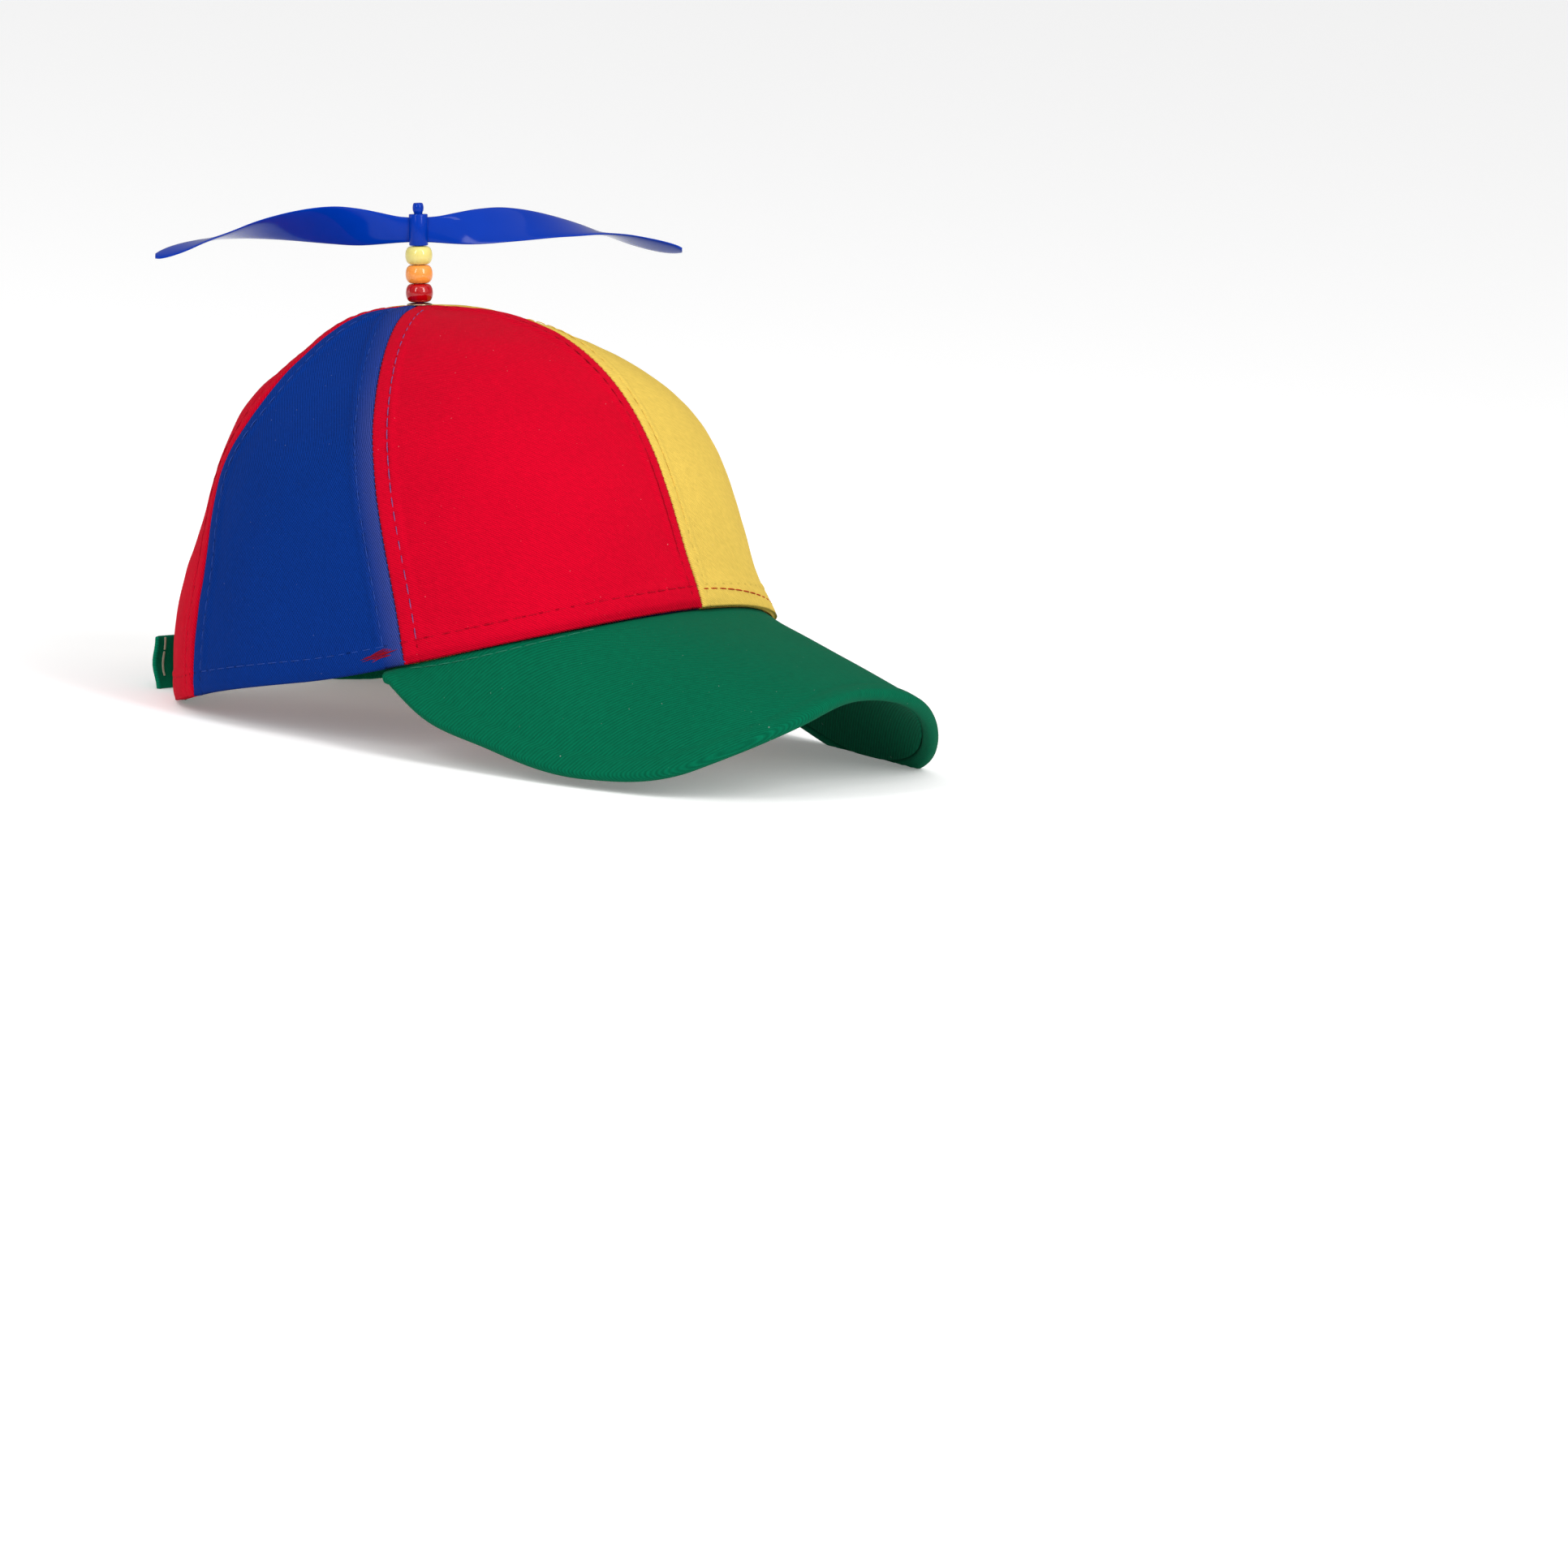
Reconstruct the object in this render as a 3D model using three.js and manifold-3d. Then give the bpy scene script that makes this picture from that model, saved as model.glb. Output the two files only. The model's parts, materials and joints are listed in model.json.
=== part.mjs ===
// Propeller cap: a six-panel cloth crown, a stiff bent peak and a two-part rear strap. A stem rises
// through an eyelet in the top of the crown, and carries three beads and a freely turning propeller.
//
// Units are millimetres. The cap is modelled about its stem hole, which is the origin of the crown:
// +X is the wearer's left, -Y the front and +Z up. The whole cap is then tilted back until it rests
// on its rear rim and on the two lobes of its peak, and moved to stand on the middle of its own box.
import * as THREE from "three";
import { mergeVertices } from "three/addons/utils/BufferGeometryUtils.js";
import Module from "manifold-3d";

const wasm = await Module();
wasm.setup();

const { degToRad, radToDeg, lerp, clamp } = THREE.MathUtils;

// Crown, measured from the stem hole
const CROWN_FRONT_LENGTH = 106;
const CROWN_REAR_LENGTH = 88.5;
const CROWN_HALF_WIDTH = 84.5;
const CROWN_FRONT_HEIGHT = 107.5;
const CROWN_SIDE_HEIGHT = 119.5;
const CROWN_REAR_HEIGHT = 122;
const FRONT_SQUARENESS = 2.6;
const REAR_SQUARENESS = 2.45;
const TOP_LEAN_POWER = 12;
const SEAM_RIDGE = 0.025;
const PANEL_COUNT = 6;
const CROWN_CLOTH = 1.6;
const SEAM_GAP = 0.3;

// Seams, as turns from the front of the cap
const SIDE_SEAM_RIM_TURN = 61.3;
const SIDE_SEAM_TOP_TURN = 69.5;
const SIDE_SEAM_POWER = 1;
const REAR_SIDE_SEAM_RIM_TURN = 120;
const REAR_SIDE_SEAM_TOP_TURN = 134;
const REAR_SIDE_SEAM_POWER = 2;

// Opening at the back, above the strap
const OPENING_HALF_WIDTH = 42;
const OPENING_HEIGHT = 49;
const OPENING_STRAIGHT = 12;

// Peak
const PEAK_LENGTH = 64;
const PEAK_CORNER_TURN = 70;
const PEAK_SLOPE = 25;
const PEAK_SIDE_STEEPENING = 0.52;
const PEAK_DROP = 57.5;
const PEAK_DROP_POWER = 2.8;
const PEAK_CORNER_FALL = 0.3;
const PEAK_BOARD = 2.4;
const PEAK_EDGE_THICKNESS = 4;
const PEAK_EDGE_WIDTH = 4;
const PEAK_TUCK = 1;
const PEAK_CORNER_THICKNESS = 1.6;
const PEAK_FULL_LENGTH = 16;
const PEAK_ROLL_MOST = 0.45;
const PEAK_LINING_CLOTH = 1;

// Strap at the back: two bands that overlap, held by a pad between them
const STRAP_HEIGHT = 20;
const STRAP_CLOTH = 1.6;
const STRAP_LIFT = 1.5;
const STRAP_BOW = 9;
const PAD_START_TURN = 165;
const PAD_END_TURN = 183;
const PAD_MARGIN = 2;

// Eyelet in the top of the crown
const EYELET_RADIUS = 4.2;
const EYELET_BORE_RADIUS = 1.9;
const EYELET_WALL = 0.6;
const EYELET_FLANGE = 0.5;
const EYELET_DOME = 0.3;
const EYELET_LIP = 1;
const EYELET_SHOULDER = 0.4;
const CLEARANCE = 0.3;

// Stem and what it carries
const STEM_RADIUS = 1.4;
const STEM_LEAN = 5.8;
const STEM_FOOT_RADIUS = 6;
const STEM_FOOT_THICKNESS = 1.2;
const STEM_HEAD_RADIUS = 1.85;
const STEM_HEAD_HEIGHT = 3.4;
const STEM_HEAD_TAPER = 0.85;
const STEM_SLOT_WIDTH = 0.6;
const STEM_SLOT_DEPTH = 2;
const BEAD_RADIUS = 4.5;
const BEAD_HEIGHT = 5.9;
const BEAD_BORE_RADIUS = 1.8;
const BEAD_BULGE_POWER = 0.62;
const BEAD_LAND = 0.2;

// Propeller
const HUB_RADIUS = 3.15;
const HUB_HEIGHT = 10.4;
const HUB_BORE_RADIUS = 1.7;
const PROPELLER_REACH = 87;
const BLADE_CHORD = 18;
const BLADE_DROOP = 8;
const BLADE_THICKNESS = 1.2;
const PROPELLER_TURN = -52;

// How far the cloth of the rear rim is pressed flat where the cap rests
const REST_FLAT = 0.8;

// Reach of the crown at each rise from the rim (0) to the stem hole (90), as shares of its lengths.
// The height at a rise is the sine of the rise, as a share of the crown's height.
const CROWN_ROWS = [
  { rise: 0, front: 1.0, side: 1.0, rear: 1.0 },
  { rise: 10, front: 0.955, side: 0.98, rear: 0.985 },
  { rise: 20, front: 0.912, side: 0.955, rear: 0.89 },
  { rise: 30, front: 0.857, side: 0.91, rear: 0.765 },
  { rise: 40, front: 0.78, side: 0.82, rear: 0.705 },
  { rise: 50, front: 0.675, side: 0.665, rear: 0.64 },
  { rise: 60, front: 0.535, side: 0.505, rear: 0.52 },
  { rise: 70, front: 0.35, side: 0.355, rear: 0.36 },
  { rise: 80, front: 0.165, side: 0.2, rear: 0.195 },
  { rise: 90, front: 0.0, side: 0.0, rear: 0.0 },
];

// Reach of the peak beyond the rim: turn as a share of the corner's turn, reach as a share of the length.
const PEAK_ROWS = [
  { turn: 0, reach: 1.0 },
  { turn: 1 / 6, reach: 0.985 },
  { turn: 2 / 6, reach: 0.8 },
  { turn: 3 / 6, reach: 0.525 },
  { turn: 4 / 6, reach: 0.265 },
  { turn: 5 / 6, reach: 0.12 },
  { turn: 1, reach: 0.02 },
];

// The wrapped roll along the peak's edge, from its inner side (0) to the very edge (1), and how far
// each of its faces closes in there, as a share of its thickness.
const ROLL_ROWS = [
  { out: 0.45, rounding: 0 },
  { out: 0.85, rounding: 0.12 },
  { out: 1, rounding: 0.34 },
];

// Bow of each strap band beyond the crown's outer face, as shares of the bow, at turns from the
// front round the band's own side. Below 0 it lies inside the crown, where it is sewn.
const RIGHT_STRAP_ROWS = [
  { turn: 138, bow: 0 },
  { turn: 155, bow: 0 },
  { turn: 161, bow: 0.45 },
  { turn: 166, bow: 0.68 },
  { turn: 176, bow: 0.7 },
  { turn: 190, bow: 0.62 },
];
const LEFT_STRAP_ROWS = [
  { turn: 138, bow: 0 },
  { turn: 155, bow: 0 },
  { turn: 161, bow: 0.6 },
  { turn: 166, bow: 1.0 },
  { turn: 176, bow: 1.12 },
  { turn: 186, bow: 1.12 },
  { turn: 196, bow: 1.1 },
  { turn: 207, bow: 1.02 },
];

// The stem's head, from its neck (0) to its top (1), and its radius there as a share of its own radius.
const STEM_HEAD_ROWS = [
  { up: 0.3, radius: 1 },
  { up: 0.6, radius: 1 },
  { up: 1, radius: STEM_HEAD_TAPER },
];

// One blade from the hub to its tip: reach, chord and lift as shares, pitch in degrees.
const BLADE_ROWS = [
  { reach: 0.026, chord: 0.46, pitch: 84, lift: 0.0 },
  { reach: 0.08, chord: 0.5, pitch: 80, lift: 0.02 },
  { reach: 0.15, chord: 0.62, pitch: 68, lift: 0.06 },
  { reach: 0.23, chord: 0.78, pitch: 55, lift: 0.13 },
  { reach: 0.32, chord: 0.92, pitch: 44, lift: 0.2 },
  { reach: 0.42, chord: 0.99, pitch: 34, lift: 0.19 },
  { reach: 0.52, chord: 1.0, pitch: 24, lift: 0.1 },
  { reach: 0.62, chord: 0.97, pitch: 14, lift: -0.04 },
  { reach: 0.71, chord: 0.88, pitch: 4, lift: -0.25 },
  { reach: 0.8, chord: 0.78, pitch: -5, lift: -0.46 },
  { reach: 0.88, chord: 0.64, pitch: -11, lift: -0.66 },
  { reach: 0.94, chord: 0.48, pitch: -12, lift: -0.83 },
  { reach: 0.98, chord: 0.3, pitch: -11, lift: -0.95 },
  { reach: 1, chord: 0.12, pitch: -10, lift: -1 },
];

// Mesh fineness
const PANEL_COLUMNS = 10;
const PANEL_RISES = 15;
const PEAK_COLUMNS = 40;
const PEAK_STEPS = 5;
const PEAK_LINING_SKIP = 4;
const STRAP_COLUMNS = 24;
const STRAP_LEVELS = 3;
const ARCH_STEPS = 20;
const ROUND_SEGMENTS = 24;
const BEAD_SEGMENTS = 16;
const BEAD_STEPS = 8;
const BLADE_STEPS = 20;
const BLADE_SIDES = 8;
const NORMAL_STEP = 1e-3;
const MERGE_DISTANCE = 1e-4;
const HALVINGS = 50;

const COLOURS = {
  red: { color: 0xd60028, roughness: 0.85, metalness: 0 },
  blue: { color: 0x10328c, roughness: 0.85, metalness: 0 },
  yellow: { color: 0xf0d064, roughness: 0.85, metalness: 0 },
  green: { color: 0x006a48, roughness: 0.85, metalness: 0 },
  beadRed: { color: 0xb8000c, roughness: 0.2, metalness: 0 },
  beadOrange: { color: 0xff9c48, roughness: 0.2, metalness: 0 },
  beadYellow: { color: 0xf0dc78, roughness: 0.2, metalness: 0 },
  plastic: { color: 0x0a3cb4, roughness: 0.25, metalness: 0 },
  fastener: { color: 0x0b4a34, roughness: 0.95, metalness: 0 },
  brass: { color: 0x8a7448, roughness: 0.35, metalness: 1 },
};

// A smooth curve through one column of a table, read at a share of the table's length.
function rowCurve(rows, name) {
  const points = rows.map((row, index) => new THREE.Vector2(index, row[name]));
  const curve = new THREE.SplineCurve(points);
  return (share) => curve.getPoint(clamp(share, 0, 1)).y;
}

// The same curve, read at a value of the table's key column.
function column(rows, key, name) {
  const curve = rowCurve(rows, name);
  const last = rows.length - 1;
  return (at) => {
    let row = 0;
    while (row < last - 1 && at > rows[row + 1][key]) row++;
    const within = (at - rows[row][key]) / (rows[row + 1][key] - rows[row][key]);
    return curve((row + clamp(within, 0, 1)) / last);
  };
}

// Geometry helpers
function signedVolume(geometry) {
  const at = geometry.attributes.position;
  const index = geometry.index;
  const [a, b, c] = [new THREE.Vector3(), new THREE.Vector3(), new THREE.Vector3()];
  let total = 0;
  for (let i = 0; i < index.count; i += 3) {
    a.fromBufferAttribute(at, index.getX(i));
    b.fromBufferAttribute(at, index.getX(i + 1));
    c.fromBufferAttribute(at, index.getX(i + 2));
    total += a.dot(b.cross(c)) / 6;
  }
  return total;
}

// Merges shared corners and turns the faces outwards.
function closed(geometry) {
  geometry.deleteAttribute("normal");
  geometry.deleteAttribute("uv");
  const merged = mergeVertices(geometry, MERGE_DISTANCE);
  const kept = [];
  for (let i = 0; i < merged.index.count; i += 3) {
    const [a, b, c] = [0, 1, 2].map((k) => merged.index.getX(i + k));
    if (a !== b && b !== c && c !== a) kept.push(a, b, c);
  }
  merged.setIndex(kept);
  if (signedVolume(merged) < 0) {
    for (let i = 0; i < kept.length; i += 3) [kept[i], kept[i + 1]] = [kept[i + 1], kept[i]];
    merged.setIndex(kept);
  }
  return merged;
}

function fromGrid(points, triangles) {
  const geometry = new THREE.BufferGeometry();
  geometry.setFromPoints(points);
  geometry.setIndex(triangles);
  return closed(geometry);
}

// A closed sheet between two grids of points of the same size, joined round their edges.
function sheet(top, bottom) {
  const columns = top.length;
  const rows = top[0].length;
  const points = [...top.flat(), ...bottom.flat()];
  const at = (side, i, j) => side * columns * rows + i * rows + j;
  const triangles = [];
  const quad = (a, b, c, d) => triangles.push(a, b, c, a, c, d);
  for (let i = 0; i < columns - 1; i++) {
    for (let j = 0; j < rows - 1; j++) {
      quad(at(0, i, j), at(0, i + 1, j), at(0, i + 1, j + 1), at(0, i, j + 1));
      quad(at(1, i, j), at(1, i, j + 1), at(1, i + 1, j + 1), at(1, i + 1, j));
    }
    quad(at(0, i, 0), at(1, i, 0), at(1, i + 1, 0), at(0, i + 1, 0));
    quad(at(0, i + 1, rows - 1), at(1, i + 1, rows - 1), at(1, i, rows - 1), at(0, i, rows - 1));
  }
  for (let j = 0; j < rows - 1; j++) {
    quad(at(0, 0, j + 1), at(1, 0, j + 1), at(1, 0, j), at(0, 0, j));
    quad(at(0, columns - 1, j), at(1, columns - 1, j), at(1, columns - 1, j + 1), at(0, columns - 1, j + 1));
  }
  return fromGrid(points, triangles);
}

// A closed body through rings of points of the same count, with a fan over each end.
function loft(rings) {
  const count = rings[0].length;
  const points = rings.flat();
  const triangles = [];
  for (let i = 0; i < rings.length - 1; i++) {
    for (let j = 0; j < count; j++) {
      const next = (j + 1) % count;
      const [a, b] = [i * count + j, i * count + next];
      triangles.push(a, b, b + count, a, b + count, a + count);
    }
  }
  const last = (rings.length - 1) * count;
  for (let j = 1; j < count - 1; j++) {
    triangles.push(0, j + 1, j);
    triangles.push(last, last + j, last + j + 1);
  }
  return fromGrid(points, triangles);
}

// A body turned about Z from a closed profile of [radius, height] pairs.
function turned(profile, segments) {
  const points = profile.map(([radius, height]) => new THREE.Vector2(radius, height));
  const onAxis = profile[0][0] === 0;
  if (!onAxis) points.push(points[0].clone());
  return closed(new THREE.LatheGeometry(points, segments).rotateX(Math.PI / 2));
}

function solid(geometry) {
  const vertProperties = new Float32Array(geometry.attributes.position.array);
  const triVerts = new Uint32Array(geometry.index.array);
  return new wasm.Manifold(new wasm.Mesh({ numProp: 3, vertProperties, triVerts }));
}

function fromSolid(body) {
  const mesh = body.getMesh();
  const geometry = new THREE.BufferGeometry();
  geometry.setAttribute("position", new THREE.BufferAttribute(new Float32Array(mesh.vertProperties), 3));
  geometry.setIndex(new THREE.BufferAttribute(new Uint32Array(mesh.triVerts), 1));
  return closed(geometry);
}

const cut = (geometry, tool) => fromSolid(solid(geometry).subtract(solid(tool)));
const join = (geometry, other) => fromSolid(solid(geometry).add(solid(other)));

// A place on the wearer's right (1) or the same place on the left (-1).
function mirrored(point, side) {
  return new THREE.Vector3(point.x * side, point.y, point.z);
}

function steps(count) {
  return Array.from({ length: count + 1 }, (_, i) => i / count);
}

// Crown surface
const crownShare = {
  front: column(CROWN_ROWS, "rise", "front"),
  side: column(CROWN_ROWS, "rise", "side"),
  rear: column(CROWN_ROWS, "rise", "rear"),
};

// How much of the front, side and rear profile applies at a turn.
function blend(turn) {
  const along = Math.cos(turn);
  const front = along > 0 ? along * along : 0;
  const rear = along < 0 ? along * along : 0;
  return { front, side: 1 - front - rear, rear };
}

// Plan outline of the rim: a rounded oval, fuller in front than behind.
function rimReach(turn) {
  const along = Math.cos(turn);
  const across = Math.sin(turn);
  const length = along > 0 ? CROWN_FRONT_LENGTH : CROWN_REAR_LENGTH;
  const power = along > 0 ? FRONT_SQUARENESS : REAR_SQUARENESS;
  return (Math.abs(along / length) ** power + Math.abs(across / CROWN_HALF_WIDTH) ** power) ** (-1 / power);
}

function crownHeight(turn) {
  const { front, side, rear } = blend(turn);
  return front * CROWN_FRONT_HEIGHT + side * CROWN_SIDE_HEIGHT + rear * CROWN_REAR_HEIGHT;
}

// Turns run from the front towards the wearer's right, rises from the rim to the stem hole. Towards
// the top the panels stand out a little along their seams and are flatter between them, and close to
// the hole the cloth lies square to the leaning stem.
function crownPoint(turn, rise) {
  const weight = blend(turn);
  const at = radToDeg(rise);
  let share = 0;
  for (const name of ["front", "side", "rear"]) share += weight[name] * crownShare[name](at);
  const ridge = 1 + SEAM_RIDGE * Math.cos(PANEL_COUNT * turn) * Math.sin(rise) ** 2;
  const reach = rimReach(turn) * share * ridge;
  const y = -reach * Math.cos(turn);
  const topLean = y * Math.tan(degToRad(STEM_LEAN)) * Math.sin(rise) ** TOP_LEAN_POWER;
  const height = -crownHeight(turn) * (1 - Math.sin(rise)) + topLean;
  return new THREE.Vector3(-reach * Math.sin(turn), y, height);
}

function crownNormal(turn, rise) {
  const low = Math.max(rise - NORMAL_STEP, 0);
  const high = Math.min(rise + NORMAL_STEP, degToRad(90) - NORMAL_STEP);
  const across = crownPoint(turn + NORMAL_STEP, rise).sub(crownPoint(turn - NORMAL_STEP, rise));
  const up = crownPoint(turn, high).sub(crownPoint(turn, low));
  return up.cross(across).normalize();
}

// The rise at which the crown comes within a given distance of the stem's axis.
function riseAtReach(turn, reach) {
  let [low, high] = [0, degToRad(90)];
  for (let i = 0; i < HALVINGS; i++) {
    const middle = (low + high) / 2;
    const point = crownPoint(turn, middle);
    if (Math.hypot(point.x, point.y) > reach) low = middle;
    else high = middle;
  }
  return low;
}

const riseAtHeight = (turn, above) => Math.asin(clamp(above / crownHeight(turn), 0, 1));

// Panels
const topHoleRadius = EYELET_BORE_RADIUS + EYELET_WALL + 2 * CLEARANCE;
const frontSeam = () => 0;
const rearSeam = () => degToRad(180);
const sideSeam = leaning(SIDE_SEAM_RIM_TURN, SIDE_SEAM_TOP_TURN, SIDE_SEAM_POWER);
const rearSideSeam = leaning(REAR_SIDE_SEAM_RIM_TURN, REAR_SIDE_SEAM_TOP_TURN, REAR_SIDE_SEAM_POWER);

// A seam whose turn changes from the rim to the top of the crown.
function leaning(rimTurn, topTurn, power) {
  return (rise) => degToRad(lerp(rimTurn, topTurn, Math.sin(rise) ** power));
}

// One cloth gore between two seams, on the wearer's right (1) or left (-1).
function panel(fromSeam, toSeam, side) {
  const outer = [];
  const inner = [];
  const top = degToRad(90);
  for (const across of steps(PANEL_COLUMNS)) {
    const outerColumn = [];
    const innerColumn = [];
    const topRise = riseAtReach(lerp(fromSeam(top), toSeam(top), across), topHoleRadius);
    for (const up of steps(PANEL_RISES)) {
      const rise = topRise * up;
      const start = fromSeam(rise);
      const end = toSeam(rise);
      const reach = Math.hypot(crownPoint(start, rise).x, crownPoint(start, rise).y);
      const inset = Math.asin(SEAM_GAP / 2 / reach);
      const turn = lerp(start + inset, end - inset, across);
      const point = crownPoint(turn, rise);
      const normal = crownNormal(turn, rise);
      const under = point.clone().addScaledVector(normal, -CROWN_CLOTH);
      outerColumn.push(mirrored(point, side));
      innerColumn.push(mirrored(under, side));
    }
    outer.push(outerColumn);
    inner.push(innerColumn);
  }
  return sheet(outer, inner);
}

// The opening at the back: upright sides and an oval top, cut straight through to the rear.
function rearOpening() {
  const floor = -CROWN_REAR_HEIGHT;
  const arch = new THREE.Shape();
  const below = floor - OPENING_STRAIGHT;
  arch.moveTo(-OPENING_HALF_WIDTH, below);
  arch.lineTo(OPENING_HALF_WIDTH, below);
  arch.lineTo(OPENING_HALF_WIDTH, floor + OPENING_STRAIGHT);
  const rise = OPENING_HEIGHT - OPENING_STRAIGHT;
  arch.absellipse(0, floor + OPENING_STRAIGHT, OPENING_HALF_WIDTH, rise, 0, Math.PI, false, 0);
  const depth = 2 * CROWN_REAR_LENGTH;
  const tool = new THREE.ExtrudeGeometry(arch, { depth, bevelEnabled: false, curveSegments: ARCH_STEPS });
  return closed(tool.rotateX(Math.PI / 2).translate(0, depth, 0));
}

// Peak
const peakReach = column(PEAK_ROWS, "turn", "reach");

// Height of the peak's upper face over a place in plan: it slopes down to the front and arches
// down to both sides.
function peakHeight(x, y) {
  const across = Math.abs(x) / CROWN_HALF_WIDTH;
  const steepening = 1 + PEAK_SIDE_STEEPENING * across ** 2;
  const fall = Math.tan(degToRad(PEAK_SLOPE)) * (y + CROWN_FRONT_LENGTH) * steepening;
  return -CROWN_FRONT_HEIGHT + fall - PEAK_DROP * across ** PEAK_DROP_POWER;
}

// Plan places on the sewn edge, tucked under the crown's rim, and on the outer edge.
function peakEdges(across) {
  const turn = across * degToRad(PEAK_CORNER_TURN);
  const direction = new THREE.Vector2(-Math.sin(turn), -Math.cos(turn));
  const rim = rimReach(turn);
  const inside = rim - CROWN_CLOTH - PEAK_TUCK;
  const outside = rim + PEAK_LENGTH * peakReach(Math.abs(across));
  return {
    turn,
    length: outside - inside,
    sewn: direction.clone().multiplyScalar(inside),
    outer: direction.clone().multiplyScalar(outside),
  };
}

// A point of the peak's upper face: across from corner to corner (-1 to 1), out from the sewn edge
// (0) to the outer edge (1). The sewn edge lies just under the rim of the crown.
function peakPoint(across, out) {
  const { turn, length, sewn, outer } = peakEdges(across);
  const place = sewn.clone().lerp(outer, out);
  const seat = -crownHeight(turn) - CLEARANCE - peakHeight(sewn.x, sewn.y);
  const ceiling = -crownHeight(turn) - CLEARANCE - PEAK_CORNER_FALL * out * length;
  const height = Math.min(peakHeight(place.x, place.y) + seat * (1 - out) ** 2, ceiling);
  return new THREE.Vector3(place.x, place.y, height);
}

function peakNormal(across, out) {
  const along = peakPoint(across + NORMAL_STEP, out).sub(peakPoint(across - NORMAL_STEP, out));
  const outer = peakPoint(across, Math.min(out + NORMAL_STEP, 1));
  const outwards = outer.sub(peakPoint(across, Math.max(out - NORMAL_STEP, 0)));
  const normal = along.cross(outwards).normalize();
  return normal.z < 0 ? normal.negate() : normal;
}

function acrossSteps() {
  return steps(PEAK_COLUMNS).map((share) => lerp(-1, 1, share));
}

// Share of a column's length that the wrapped roll takes.
const rollShare = (length) => Math.min(PEAK_EDGE_WIDTH / length, PEAK_ROLL_MOST);

// The stiff peak: a board in cloth, with a thicker wrapped roll along its outer edge, thinner where
// it is short at its corners.
function peak() {
  const top = [];
  const bottom = [];
  for (const across of acrossSteps()) {
    const { length } = peakEdges(across);
    const roll = rollShare(length);
    const full = Math.min(1, length / PEAK_FULL_LENGTH);
    const board = lerp(PEAK_CORNER_THICKNESS, PEAK_BOARD, full);
    const rolled = lerp(PEAK_CORNER_THICKNESS, PEAK_EDGE_THICKNESS, full);
    const flat = (share) => ({ out: share * (1 - roll), depth: board, rounding: 0 });
    const places = steps(PEAK_STEPS).map(flat);
    for (const { out, rounding } of ROLL_ROWS) {
      places.push({ out: 1 - (1 - out) * roll, depth: rolled, rounding });
    }
    const topColumn = [];
    const bottomColumn = [];
    for (const { out, depth, rounding } of places) {
      const point = peakPoint(across, out);
      const normal = peakNormal(across, out);
      topColumn.push(point.clone().addScaledVector(normal, -rounding * depth));
      bottomColumn.push(point.clone().addScaledVector(normal, (rounding - 1) * depth));
    }
    top.push(topColumn);
    bottom.push(bottomColumn);
  }
  return sheet(top, bottom);
}

// The cloth under the peak, inside the wrapped roll.
function peakLining() {
  const top = [];
  const bottom = [];
  for (const across of acrossSteps().slice(PEAK_LINING_SKIP, -PEAK_LINING_SKIP)) {
    const { length } = peakEdges(across);
    const first = 2 * CROWN_CLOTH / length;
    const last = 1 - rollShare(length) - 2 * CLEARANCE / length;
    const topColumn = [];
    const bottomColumn = [];
    for (const share of steps(PEAK_STEPS)) {
      const out = lerp(first, last, share);
      const point = peakPoint(across, out);
      const normal = peakNormal(across, out);
      topColumn.push(point.clone().addScaledVector(normal, -PEAK_BOARD - CLEARANCE));
      bottomColumn.push(point.clone().addScaledVector(normal, -PEAK_BOARD - CLEARANCE - PEAK_LINING_CLOTH));
    }
    top.push(topColumn);
    bottom.push(bottomColumn);
  }
  return sheet(top, bottom);
}

// Strap
const sewnOffset = -CROWN_CLOTH - 2 * CLEARANCE;
const rightBow = column(RIGHT_STRAP_ROWS, "turn", "bow");
const leftBow = column(LEFT_STRAP_ROWS, "turn", "bow");
const rightOffset = (turn) => sewnOffset + (STRAP_BOW - sewnOffset) * rightBow(turn);
const leftOffset = (turn) => sewnOffset + (STRAP_BOW - sewnOffset) * leftBow(turn);

// A place on a strap: turn in degrees, height above the rim and distance from the crown's outer face.
function strapPoint(turn, above, offset, side) {
  const at = degToRad(turn);
  const rise = riseAtHeight(at, above);
  const normal = crownNormal(at, rise).setZ(0).normalize();
  return mirrored(crownPoint(at, rise).addScaledVector(normal, offset), side);
}

// An upright band between two distances from the crown, over a range of turns.
function band(fromTurn, toTurn, margin, side, outerOffset, innerOffset) {
  const outer = [];
  const inner = [];
  for (const along of steps(STRAP_COLUMNS)) {
    const turn = lerp(fromTurn, toTurn, along);
    const heights = steps(STRAP_LEVELS).map((up) => lerp(margin, STRAP_HEIGHT - margin, up) + STRAP_LIFT);
    outer.push(heights.map((above) => strapPoint(turn, above, outerOffset(turn), side)));
    inner.push(heights.map((above) => strapPoint(turn, above, innerOffset(turn), side)));
  }
  return sheet(outer, inner);
}

function strap(rows, side, offset) {
  return band(rows[0].turn, rows.at(-1).turn, 0, side, offset, (turn) => offset(turn) - STRAP_CLOTH);
}

// The pad between the bands, as seen from the right band's side.
function pad() {
  const outside = (turn) => leftOffset(360 - turn) - STRAP_CLOTH - CLEARANCE;
  const inside = (turn) => rightOffset(turn) + CLEARANCE;
  return band(PAD_START_TURN, PAD_END_TURN, PAD_MARGIN, 1, outside, inside);
}

// Stem, beads and eyelet, about the stem's own axis with the crown's top at height 0
const flangeTop = CLEARANCE + EYELET_FLANGE + EYELET_DOME;
const beadPitch = BEAD_HEIGHT + CLEARANCE;
const hubSeat = flangeTop + CLEARANCE + 3 * beadPitch;

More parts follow.
